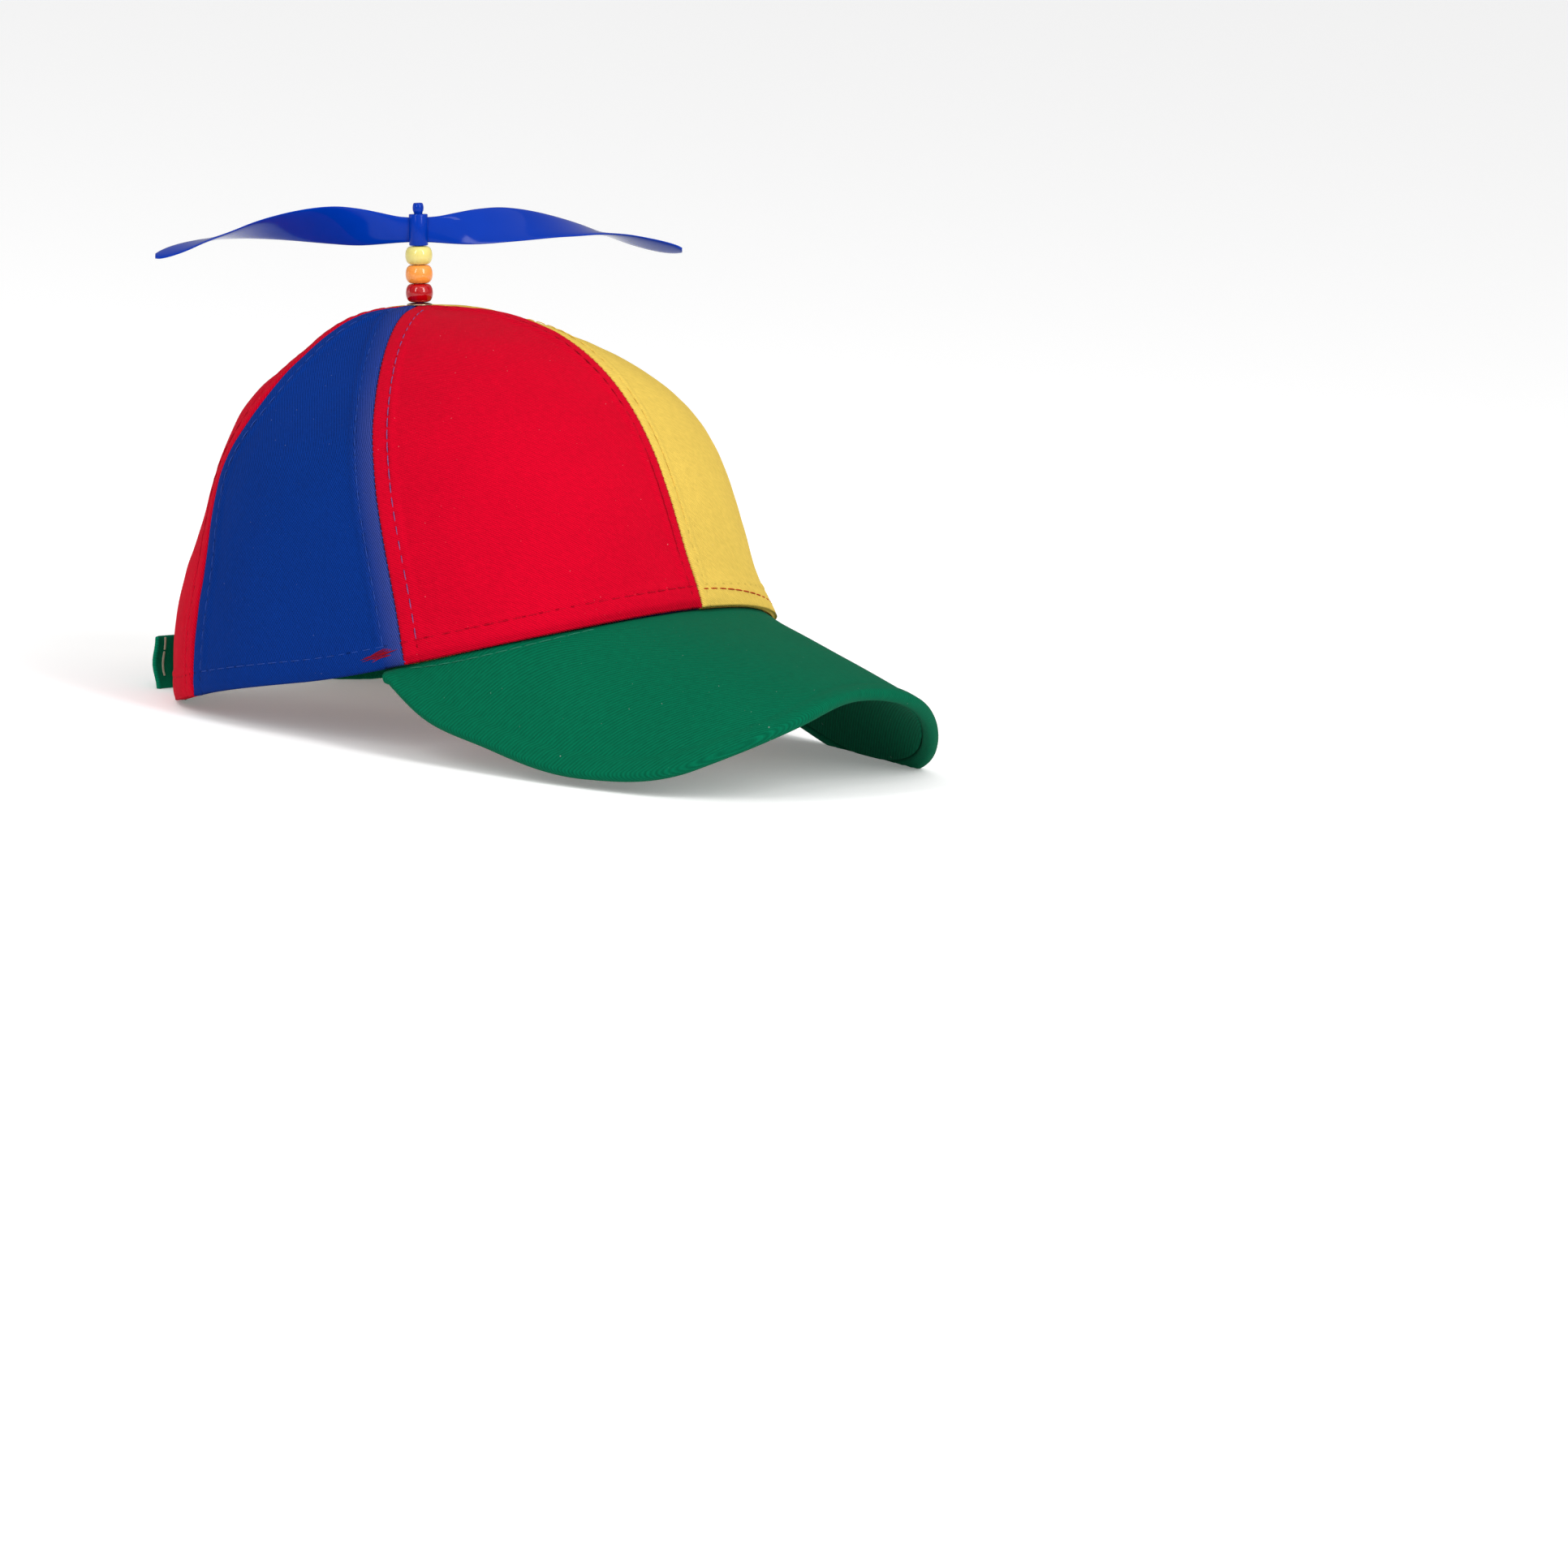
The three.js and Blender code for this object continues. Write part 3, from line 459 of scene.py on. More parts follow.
# Crown panels
def pad(distance, shape):
    """How far the cloth stands out at a distance from the edge of its allowance."""
    return shape["out"] * (1 - smooth((distance - shape["beyond"]) / shape["fade"]))


def relief(start, end, above, rows, roll):
    """How far the cloth stands out over its seam allowances, and sinks under its stitch rows."""
    lift = 0.0
    sink = 0.0
    for distance, row in ((start, rows[0]), (end, rows[1])):
        lift = np.maximum(lift, pad(distance - row, SEAM_PAD))
        sink = sink + ROW_SINK["down"] * bell(distance - row, ROW_SINK["wide"])
        wave = 0.5 + 0.5 * np.cos(2 * np.pi * above / STITCH_PITCH)
        sink = sink + PUCKERS["down"] * bell(distance - row, PUCKERS["wide"]) * wave
    lift = np.maximum(lift, pad(above - RIM_ROW, RIM_PAD))
    sink = sink + ROW_SINK["down"] * bell(above - RIM_ROW, ROW_SINK["wide"]) + roll * (1 - smooth(above / 3.4 + 0.12))
    return lift - sink


def panel_layers(turn, rise, seams):
    """Distances in millimetres over a panel: to its two seams, up from the rim, round and along it."""
    reach = crown_reach(turn, rise)
    middle = (seam_turn(seams[0], rise) + seam_turn(seams[1], rise)) / 2
    start = (turn - seam_turn(seams[0], rise)) * reach
    end = (seam_turn(seams[1], rise) - turn) * reach
    above = rise * crown_height(turn) * CLOTH_WAY_SHARE
    round_way = turn * rim_reach(turn)
    across = -(turn - middle) * reach
    return start, end, above, round_way, across


def arch_side(points):
    """Below 0 inside the opening at the back, above 0 outside it, in millimetres or nearly."""
    x, height = np.abs(points[..., 0]), points[..., 2] + REAR_HEIGHT
    tall = OPENING_HEIGHT - OPENING_STRAIGHT
    upper = (np.hypot(x / OPENING_HALF_WIDTH, (height - OPENING_STRAIGHT) / tall) - 1) * tall
    side = np.where(height < OPENING_STRAIGHT, x - OPENING_HALF_WIDTH, upper)
    return np.where(points[..., 1] > 0, side, 1e3)


def onto_arch(turn, rise, side):
    """Moves places on the crown onto the edge of the opening."""
    for _ in range(12):
        gap = arch_side(crown_points(turn, rise, side))
        by_turn = (arch_side(crown_points(turn + 1e-4, rise, side)) - gap) / 1e-4
        by_rise = (arch_side(crown_points(turn, rise + 1e-4, side)) - gap) / 1e-4
        scale = by_turn ** 2 / 80 ** 2 + by_rise ** 2 / 120 ** 2
        turn = turn - gap * by_turn / 80 ** 2 / np.maximum(scale, 1e-9)
        rise = np.maximum(rise - gap * by_rise / 120 ** 2 / np.maximum(scale, 1e-9), 0)
    return turn, rise


def rib_layer(across, along, lean):
    """Places across and along the ribs of a cloth whose ribs lean by an angle from level."""
    angle = math.radians(lean)
    down = across * math.cos(angle) + along * math.sin(angle)
    over = -across * math.sin(angle) + along * math.cos(angle)
    return over, down


def crown_panel(panel, columns=84, levels=150):
    seams, rows, side = panel["seams"], panel["rows"], panel["side"]
    share = crowded(columns, 0.55)[:, None]
    up = crowded(levels, 0.35, "start")[None, :]
    top = math.radians(90)
    top_turn = seam_turn(seams[0], top) + (seam_turn(seams[1], top) - seam_turn(seams[0], top)) * share
    rise = rise_at_reach(top_turn, HOLE_RADIUS) * up
    start, end = seam_turn(seams[0], rise), seam_turn(seams[1], rise)
    start = start + SEAM_INSET / crown_reach(start, rise)
    end = end - SEAM_INSET / crown_reach(end, rise)
    turn = start + (end - start) * share
    faces = grid_faces(columns, levels, flip=side < 0)
    turn, rise = turn.ravel(), rise.ravel()
    if "rear" in seams:
        inside = arch_side(crown_points(turn, rise, side)) < 0
        kept = faces[(~inside[faces]).any(1)]
        moved = np.intersect1d(np.unique(kept), np.where(inside)[0])
        turn[moved], rise[moved] = onto_arch(turn[moved], rise[moved], side)
        used, flat = np.unique(kept, return_inverse=True)
        turn, rise, faces = turn[used], rise[used], flat.reshape(-1, 4)
    base = crown_points(turn, rise, side)
    normals = crown_normals(turn, rise, side)
    near, far, above, round_way, across = panel_layers(turn, rise, seams)
    height = relief(near, far, above, rows, panel["roll"])
    if "rear" in seams:
        arch = arch_side(base) - ARCH_ROW
        height = np.maximum(height, pad(arch, ARCH_PAD)) - ARCH_SINK["down"] * bell(arch, ARCH_SINK["wide"])
    height = height + 0.22 * Ripple(3 + len(panel["name"]), 46)(base) + 0.06 * Ripple(11, 9)(base)
    outer = base + normals * (height * smooth(near / 1.2) * smooth(far / 1.2))[:, None]
    flip = np.array([side, 1, 1])
    bulge = SEAM_BULGE + RIM_BULGE * smooth(np.minimum(near, far) / 2 - 0.2)
    points, closed, source = shell(outer * flip, normals * flip, faces, CLOTH, bulge=bulge)
    over, down = rib_layer(across * side, above, panel["ribs"])
    rim = np.stack([near, far, above], -1)
    runs = np.stack([above, round_way, above * 0], -1)
    weave = np.stack([over, down, above * 0], -1)
    layers = {"weave": weave[source], "edges": rim[source], "runs": runs[source]}
    made = add_mesh("crown_" + panel["name"], above_floor(points), closed, layers)
    tidy_mesh(made)
    return made


# Peak
def peak_height(x, y):
    across = np.abs(x) / HALF_WIDTH
    fall = math.tan(math.radians(PEAK_SLOPE)) * (y + FRONT_LENGTH) * (1 + PEAK_SIDE_STEEPENING * across ** 2)
    return -FRONT_HEIGHT + fall - PEAK_DROP * across ** PEAK_DROP_POWER


def peak_edges(across):
    turn = across * math.radians(PEAK_CORNER_TURN)
    way = np.stack([-np.sin(turn), -np.cos(turn)], -1)
    rim = rim_reach(turn)
    inside = rim - CLOTH - PEAK_TUCK
    reach = {name: read_table(PEAK_ROWS, "turn", name, np.abs(across)) for name in ("right", "left")}
    outside = rim + PEAK_LENGTH * np.where(across > 0, reach["right"], reach["left"])
    return turn, outside - inside, way * inside[..., None], way * outside[..., None]


def peak_points(across, out):
    across, out = np.broadcast_arrays(across, out)
    turn, length, sewn, outer = peak_edges(across)
    place = sewn + (outer - sewn) * out[..., None]
    rim = -crown_height(turn) - CLEARANCE
    seat = rim - peak_height(sewn[..., 0], sewn[..., 1])
    ceiling = rim - PEAK_CORNER_FALL * out * length
    height = peak_height(place[..., 0], place[..., 1]) + seat * (1 - out) ** 2
    front = bell(across - PEAK_FRONT_FALL["across"], PEAK_FRONT_FALL["wide"])
    height = height - PEAK_FRONT_FALL["down"] * front * np.clip(out, 0, 2) ** 2
    return np.concatenate([place, np.minimum(height, ceiling)[..., None]], -1)


def peak_normals(across, out, step=2e-3):
    along = peak_points(across + step, out) - peak_points(across - step, out)
    outwards = peak_points(across, np.minimum(out + step, 1)) - peak_points(across, np.maximum(out - step, 0))
    return unit(np.cross(along, outwards))


def peak_cover(columns=200, steps=34):
    """The board in its cloth: upper face, wrapped roll round the edge, and the turned-in cloth below."""
    across = np.linspace(-1, 1, columns) * PEAK_CORNER_SHARE
    length = peak_edges(across)[1]
    full = np.clip(length / PEAK_EDGE_FULL_AT, 0, 1)
    board = CLOTH + (PEAK_BOARD - CLOTH) * full
    rolled = CLOTH + (PEAK_EDGE_THICKNESS - CLOTH) * full
    radius = np.minimum(rolled / 2, 0.4 * length)
    sections = []
    roll = np.minimum(PEAK_EDGE_WIDTH, 0.45 * length)
    edge_normal = peak_normals(across, 1 - radius / length)
    edge_point = peak_points(across, 1 - radius / length)
    edge_out = unit(peak_points(across, 1.0) - peak_points(across, 1 - radius / length))
    for share in crowded(steps, 0.5, "both"):
        out = share * (1 - radius / length)
        point, normal = peak_points(across, out), peak_normals(across, out)
        from_edge = (1 - radius / length - out) * length
        swell = (0.45 * (1 - smooth((from_edge - 2.6) / 1.6)) - 0.12 * bell(from_edge - 4.4, 0.8)) * full
        sections.append(point + normal * (swell - 0.04 + 0.12 * Ripple(21, 38)(point) * full)[:, None])
    for angle in np.linspace(0, np.pi, 12)[1:-1]:
        depth = rolled / 2 * (1 - np.cos(angle)) - 0.45 * full * (1 + np.cos(angle)) / 2
        sections.append(edge_point - edge_normal * depth[:, None] + edge_out * (radius * np.sin(angle))[:, None])
    drop = rolled - board
    inner = np.maximum(roll - radius, 0)
    for back, depth in (
        (0.0, rolled), (0.5 * inner, rolled), (0.85 * inner, rolled - 0.1 * drop), (0.97 * inner, rolled - 0.5 * drop),
        (inner + 0.25 * full, board), (inner + 3 * full, board),
    ):
        out = np.maximum(1 - (radius + back) / length, 0.02)
        point, normal = peak_points(across, out), peak_normals(across, out)
        sections.append(point - normal * depth[:, None])
    sections.append(peak_points(across, 0.0) - peak_normals(across, 0.0) * board[:, None])
    points = np.stack(sections, 1)
    rounds = points.shape[1]
    index = np.arange(columns * rounds).reshape(columns, rounds)
    after = np.roll(index, -1, axis=1)
    faces = np.stack([index[:-1], index[1:], after[1:], after[:-1]], -1).reshape(-1, 4).tolist()
    faces += [index[0].tolist(), index[-1][::-1].tolist()]
    over, down = rib_layer(points[..., 0], points[..., 1], -45)
    weave = np.stack([over, down, over * 0], -1).reshape(-1, 3)
    made = add_mesh("peak_cover", above_floor(points.reshape(-1, 3)), faces, {"weave": weave})
    tidy_mesh(made)
    return made


def peak_under(columns=150, steps=34, skip=0.2):
    """The cloth under the peak, drawn tight inside the wrapped roll."""
    across = np.linspace(-1 + skip, 1 - skip, columns)[:, None]
    length = peak_edges(across)[1]
    roll = np.minimum(PEAK_EDGE_WIDTH / length, 0.45)
    first, last = 2 * CLOTH / length, 1 - roll - 0.5 / length
    out = first + (last - first) * crowded(steps, 0.4)[None, :]
    point, normal = peak_points(across, out), peak_normals(across, out)
    depth = PEAK_BOARD + CLEARANCE + 0.15 + 0.1 * Ripple(31, 30)(point)
    upper = (point - normal * depth[..., None]).reshape(-1, 3)
    faces = grid_faces(columns, steps)
    points, closed, source = shell(upper, normal.reshape(-1, 3), faces, PEAK_LINING_CLOTH)
    over, down = rib_layer(point[..., 0].ravel(), point[..., 1].ravel(), 45)
    weave = np.stack([over, down, over * 0], -1)[source]
    made = add_mesh("peak_under", crown_to_row(points), closed, {"weave": weave})
    tidy_mesh(made)
    return made


# Strap
def strap_offset(rows, turn):
    return SEWN + (STRAP_BOW - SEWN) * read_table(rows, "turn", "bow", turn)


def strap_points(turn, above, offset):
    """A place on a strap: turn in degrees, height above the rim, distance from the crown."""
    at = np.radians(turn)
    rise = rise_at_height(at, above)
    normal = crown_normals(at, rise)
    normal[..., 2] = 0
    return crown_points(at, rise) + unit(normal) * np.asarray(offset)[..., None]


def strap_wave(turn, share, side):
    """The slack of a band that isn't drawn tight."""
    place = turn if side > 0 else 360 - turn
    return STRAP_SLACK * np.sin(share * 8.5 + place * 0.22) * smooth((turn - 158) / 6)


def strap_band(name, rows, side, span=(0.0, 1.0), offset=None, turns=None, thickness=CLOTH, columns=150, levels=16):
    first, last = turns or (rows[0]["turn"], rows[-1]["turn"])
    turn = np.linspace(first, last, columns)[:, None] * np.ones((1, levels))
    up = crowded(levels, 0.5)[None, :] * np.ones((columns, 1))
    share = span[0] + (span[1] - span[0]) * up
    above = STRAP_LIFT + STRAP_HEIGHT * share
    out = (offset or (lambda at: strap_offset(rows, at)))(turn) + strap_wave(turn, share, side)
    mid = strap_points(turn, above, out)
    before = strap_points(turn - 0.3, above, out)
    after = strap_points(turn + 0.3, above, out)
    lower = strap_points(turn, above - 0.5, out)
    normal = unit(np.cross(lower - mid, after - before))
    outwards = strap_points(turn, above, out + 1) - mid
    normal = np.where((normal * outwards).sum(-1, keepdims=True) < 0, -normal, normal)
    flip = np.array([side, 1, 1])
    faces = grid_faces(columns, levels, flip=side > 0)
    steps = np.linalg.norm(np.diff(mid[:, 0], axis=0), axis=1)
    along = np.cumsum(np.r_[0, steps])[:, None] * np.ones((1, levels))
    points, closed, source = shell(mid.reshape(-1, 3) * flip, normal.reshape(-1, 3) * flip, faces, thickness)
    over, down = rib_layer(along.ravel(), above.ravel(), 40)
    weave = np.stack([over, down, over * 0], -1)[source]
    made = add_mesh(name, above_floor(points), closed, {"weave": weave})
    tidy_mesh(made)
    return made


# Stitching
def stitch_shape(sides=6, stations=7):
    """One stitch along X, a thread that rises from one needle hole and sinks into the next."""
    share = np.linspace(-1, 1, stations)
    radius = np.sqrt(np.clip(1 - share ** 4, 0.02, 1))
    angle = np.arange(sides) / sides * 2 * np.pi
    points = np.stack([
        np.repeat(share, sides),
        np.outer(radius, np.cos(angle)).ravel(),
        np.outer(radius, np.sin(angle)).ravel() - np.repeat(1.3 * share ** 2, sides),
    ], -1)
    faces = []
    for i in range(stations - 1):
        for k in range(sides):
            n = (k + 1) % sides
            faces.append((i * sides + k, i * sides + n, (i + 1) * sides + n, (i + 1) * sides + k))
    faces += [tuple(range(sides))[::-1], tuple(range((stations - 1) * sides, stations * sides))]
    return points, faces


STITCH, STITCH_FACES = stitch_shape()


def stitch_row(path, normals, pitch=STITCH_PITCH, length=4.4, radius=0.17, proud=0.06, lean=0.0):
    """Points and faces of the stitches along a path, in the crown's frame. A leaning stitch crosses the path."""
    steps = np.linalg.norm(np.diff(path, axis=0), axis=1)
    run = np.r_[0, np.cumsum(steps)]
    centres = np.arange(pitch / 2, run[-1], pitch)
    if not len(centres):
        return np.zeros((0, 3)), []

    def at(values, where):
        return np.stack([np.interp(where, run, values[:, k]) for k in range(3)], -1)

    middle = at(path, centres)
    along = unit(at(path, centres + length / 2) - at(path, centres - length / 2))
    up = unit(at(normals, centres))
    across = unit(np.cross(up, along))
    turn = math.radians(lean)
    cosine, sine = math.cos(turn), math.sin(turn)
    along, across = along * cosine + across * sine, across * cosine - along * sine
    shape = STITCH[None] * np.array([length / 2, radius, radius])
    points = middle[:, None] + shape[..., :1] * along[:, None] + shape[..., 1:2] * across[:, None]
    points = points + (shape[..., 2:] + proud) * up[:, None]
    count = len(STITCH)
    faces = [tuple(i * count + k for k in face) for i in range(len(centres)) for face in STITCH_FACES]
    return points.reshape(-1, 3), faces


def join_rows(name, rows):
    points, faces, start = [], [], 0
    for row_points, row_faces in rows:
        points.append(row_points)
        faces += [tuple(start + k for k in face) for face in row_faces]
        start += len(row_points)
    return add_mesh(name, crown_to_row(np.concatenate(points)), faces)


def crown_row(turn, rise, side, out, shown=True, **thread_shape):
    """A stitch row on one side of the crown, left out where the opening's hem is."""
    points, normals = crown_points(turn, rise, side), crown_normals(turn, rise, side)
    shown = shown & (arch_side(points) > ARCH_ROW - 0.5)
    flip = np.array([side, 1, 1])
    return stitch_row((points[shown] + normals[shown] * out) * flip, normals[shown] * flip, **thread_shape)


def seam_row(panel, which, distance=None, low=0.0, high=76.0, proud=0.38, **thread_shape):
    """A stitch row beside one seam of a panel."""
    seams, rows, side = panel["seams"], panel["rows"], panel["side"]
    rise = np.radians(np.linspace(low, high, 160))
    turn = seam_turn(seams[which], rise)
    step = (rows[which] if distance is None else distance) / crown_reach(turn, rise)
    turn = turn + step if which == 0 else turn - step
    return crown_row(turn, rise, side, proud, **thread_shape)


def rim_row(panel, height=RIM_ROW, fall=0.0, **thread_shape):
    """The stitch row along the rim of a panel. It may come nearer to the rim on its way."""
    seams = panel["seams"]
    share = np.linspace(0.0, 1.0, 140)
    start, end = (seam_turn(seam, math.radians(3)) for seam in seams)
    turn = start + (end - start) * share
    rise = (height - fall * smooth(share / 0.5)) / (crown_height(turn) * CLOTH_WAY_SHARE)
    between_seams = (share > 0.006) & (share < 0.994)
    return crown_row(turn, rise, panel["side"], 0.3, between_seams, **thread_shape)


def arch_row(side, distance=ARCH_ROW):
    """The stitch row round the opening at the back."""
    angle = np.linspace(0.0, np.pi / 2, 60)
    tall = OPENING_HEIGHT - OPENING_STRAIGHT
    x = np.r_[np.full(14, OPENING_HALF_WIDTH + distance), (OPENING_HALF_WIDTH + distance) * np.cos(angle)]
    height = np.r_[np.linspace(8, OPENING_STRAIGHT, 14), OPENING_STRAIGHT + (tall + distance) * np.sin(angle)]
    turn = np.radians(180 - np.degrees(np.arcsin(np.clip(x / 95, 0, 1))))
    for _ in range(30):
        rise = rise_at_height(turn, height)
        reach = crown_reach(turn, rise)
        turn = np.pi - np.arcsin(np.clip(x / reach, -1, 1))
    rise = rise_at_height(turn, height)
    points, normals = crown_points(turn, rise), crown_normals(turn, rise)
    flip = np.array([side, 1, 1])
    return stitch_row((points + normals * 0.1) * flip, normals * flip)


def peak_row(distance, first, last):
    """A stitch row across the root of the peak."""
    across = np.linspace(first, last, 300)
    length = peak_edges(across)[1]
    out = np.minimum((CLOTH + PEAK_TUCK + distance) / length, 0.6)
    points, normals = peak_points(across, out), peak_normals(across, out)
    return stitch_row(points + normals * 0.1, normals, length=4.9, radius=0.2)


def bar_tack(passes=10, length=14.6, height=2.2, from_seam=7.6, above_rim=4.5):
    """The thick little spindle of thread that locks the end of the peak's seam on the side panel."""
    chance = np.random.default_rng(5)
    rows = []
    for k in range(passes):
        level = (k / (passes - 1) - 0.5) * height
        reach = length * (1 - 0.55 * abs(2 * k / (passes - 1) - 1)) / 2
        shift = chance.uniform(-1.2, 1.2)
        slant = chance.uniform(-0.35, 0.35)
        place = np.linspace(-1, 1, 14)
        across = from_seam + shift + place * reach
        above = above_rim - place * (0.6 + slant) + level * (1 - 0.8 * place ** 2)
        rise = above / (crown_height(np.full(14, 1.2)) * CLOTH_WAY_SHARE)
        turn = seam_turn("side", rise) + across / crown_reach(seam_turn("side", rise), rise)
        out = 0.55 + chance.uniform(0, 0.3)
        rows.append(crown_row(turn, rise, 1, out, pitch=2.15 * reach, length=2 * reach, radius=0.14))
    return rows


# Plastic pieces
def bead(name, index):
    half, steps = BEAD_HEIGHT / 2 + 0.13, 22
    angle = np.linspace(-np.pi / 2, np.pi / 2, steps)
    radius = BEAD_BORE_RADIUS + (BEAD_RADIUS - BEAD_BORE_RADIUS) * np.abs(np.cos(angle)) ** 0.55
    height = half * np.sin(angle) * (1 - 0.05 * np.cos(angle))
    seat = EYELET_TOP + CLEARANCE + BEAD_HEIGHT / 2 + index * (BEAD_HEIGHT + CLEARANCE)
    wide = radius > BEAD_BORE_RADIUS + 0.15
    profile = [(BEAD_BORE_RADIUS, seat - half * 0.96), *zip(radius[wide], seat + height[wide])]
    profile.append((BEAD_BORE_RADIUS, seat + half * 0.96))
    return turned(name, profile, 64, stem_to_row)


def eyelet_ring():
    bore, barrel, outer = 1.9, 2.5, 4.2
    profile = [
        (bore, -2.5), (3.4, -2.5), (3.5, -2.2), (3.4, -1.9), (barrel, -1.9), (barrel, 0.3), (outer - 0.1, 0.3),
        (outer, 0.4), (outer, 0.55), (outer - 0.15, 0.72), (3.6, 0.9), (3.1, 1.04), (2.6, 1.1), (2.15, 1.06),
        (bore, 0.9),
    ]
    return turned("eyelet_ring", profile, 64, stem_to_row)


def stem_body():
    foot = -CLOTH - 2 * CLEARANCE - 0.6
    head = HUB_SEAT + HUB_HEIGHT + CLEARANCE
    profile = [
        (0.0, foot - 1.2), (5.7, foot - 1.2), (6.0, foot - 0.9), (6.0, foot - 0.3), (5.7, foot), (1.4, foot),
        (1.4, head - 0.1), (1.45, head + 0.1), (1.62, head + 0.5), (1.8, head + 1.0), (1.85, head + 1.7),
        (1.8, head + 2.3),
        (1.7, head + 2.8), (1.6, head + 3.1), (1.45, head + 3.3), (1.2, head + 3.4), (0.0, head + 3.4),
    ]
    made = turned("stem_rod", profile, 48, stem_to_row)
    slot = turned("slot_tool", [(0.0, -2.0), (6.0, -2.0), (6.0, 2.0), (0.0, 2.0)], 4, lambda points: points * MM)
    slot.data.transform(Matrix.Diagonal((0.06, 1.0, 1.0, 1.0)) @ Matrix.Rotation(math.radians(45), 4, "Z"))
    top = Matrix.Translation(STEM_HOLE + STEM_AXIS * (head + 3.4) * MM)
    slot.data.transform(top @ Matrix.Rotation(STEM_TILT, 4, "X"))
    carve(made, slot)
    return made


def carve(made, tool):
    """Cuts the tool out of a piece and removes the tool."""
    cut = made.modifiers.new("cut", "BOOLEAN")
    cut.operation = "DIFFERENCE"
    cut.object = tool
    apply_modifiers(made)
    bpy.data.objects.remove(tool)


def apply_modifiers(made):
    graph = bpy.context.evaluated_depsgraph_get()
    mesh = bpy.data.meshes.new_from_object(made.evaluated_get(graph))
    made.modifiers.clear()
    made.data = mesh


def blade_points(number, rings, sides):
    """Rings round one blade, along X from the hub, in millimetres about the hub's middle."""
    share = np.linspace(0, 1, rings)
    rows = [dict(row, index=index / (len(BLADE_ROWS) - 1)) for index, row in enumerate(BLADE_ROWS)]
    columns = ("reach", "chord", "pitch_%d" % number, "lift_%d" % number)
    reach, chord, pitch, lift = (read_table(rows, "index", name, share) for name in columns)
    angle = np.arange(sides) / sides * 2 * np.pi
    flat = np.sign(np.cos(angle)) * np.abs(np.cos(angle)) ** 0.8
    along = (BLADE_CHORD * chord / 2)[:, None] * flat[None]
    through = (BLADE_THICKNESS / 2) * np.sin(angle)[None] * np.ones((rings, 1))
    turn = np.radians(pitch)[:, None]
    y = along * np.cos(turn) - through * np.sin(turn)
    z = along * np.sin(turn) + through * np.cos(turn) + (BLADE_DROOP * lift)[:, None]
    x = np.broadcast_to((PROPELLER_REACH * reach)[:, None], y.shape)
    return np.stack([x, y, z], -1)


def propeller_shape():
    rings, sides = 80, 24
    index = np.arange(rings * sides).reshape(rings, sides)
    after = np.roll(index, -1, axis=1)
    blade_faces = np.stack([index[:-1], index[1:], after[1:], after[:-1]], -1).reshape(-1, 4).tolist()
    blade_faces += [index[0][::-1].tolist(), index[-1].tolist()]
    points, faces = [], []
    for way, number in ((1, 1), (-1, 2)):
        faces += [tuple(len(points) * rings * sides + k for k in face) for face in blade_faces]
        points.append(blade_points(number, rings, sides).reshape(-1, 3) * np.array([way, way, 1]))
    points = np.concatenate(points)
    turn = np.array(Matrix.Rotation(math.radians(PROPELLER_TURN), 3, "Z"))
    points = points @ turn.T + np.array([0, 0, HUB_SEAT + HUB_HEIGHT / 2])
    made = add_mesh("propeller_blades", stem_to_row(points), faces)
    tidy_mesh(made)
    half = HUB_HEIGHT / 2
    middle = HUB_SEAT + half
    profile = [
        (1.7, middle - half), (2.9, middle - half), (3.08, middle - half + 0.07), (HUB_RADIUS, middle - half + 0.25),
        (HUB_RADIUS, middle + half - 0.3), (3.08, middle + half - 0.1), (2.9, middle + half), (1.7, middle + half),
    ]
    hub = turned("propeller_hub", profile, 64, stem_to_row)
    hub.data.set_sharp_from_angle(angle=math.radians(50))
    return made, hub


def hub_mould_line():
    """The raised line that the mould left aslant across the hub."""
    share = np.linspace(0, 1, 40)
    angle = np.radians(PROPELLER_TURN - 52 - 100 * (share - 0.35))
    height = HUB_SEAT + HUB_HEIGHT * (0.82 - 0.42 * share)
    path = np.stack([HUB_RADIUS * np.cos(angle), HUB_RADIUS * np.sin(angle), height], -1)
    normals = np.stack([np.cos(angle), np.sin(angle), angle * 0], -1)
    points, faces = stitch_row(path, normals, pitch=0.5, length=0.75, radius=0.09, proud=0.0)
    return add_mesh("hub_mould_line", stem_to_row(points), faces)


# Materials
class Value:
    """A shader socket that takes part in Python arithmetic."""

    def __init__(self, shader, socket):
        self.shader = shader
        self.socket = socket

    def __add__(self, other):
        return self.shader.maths("ADD", self, other)

    def __sub__(self, other):
        return self.shader.maths("SUBTRACT", self, other)

    def __rsub__(self, other):
        return self.shader.maths("SUBTRACT", other, self)

    def __mul__(self, other):
        return self.shader.maths("MULTIPLY", self, other)

    __radd__ = __add__
    __rmul__ = __mul__


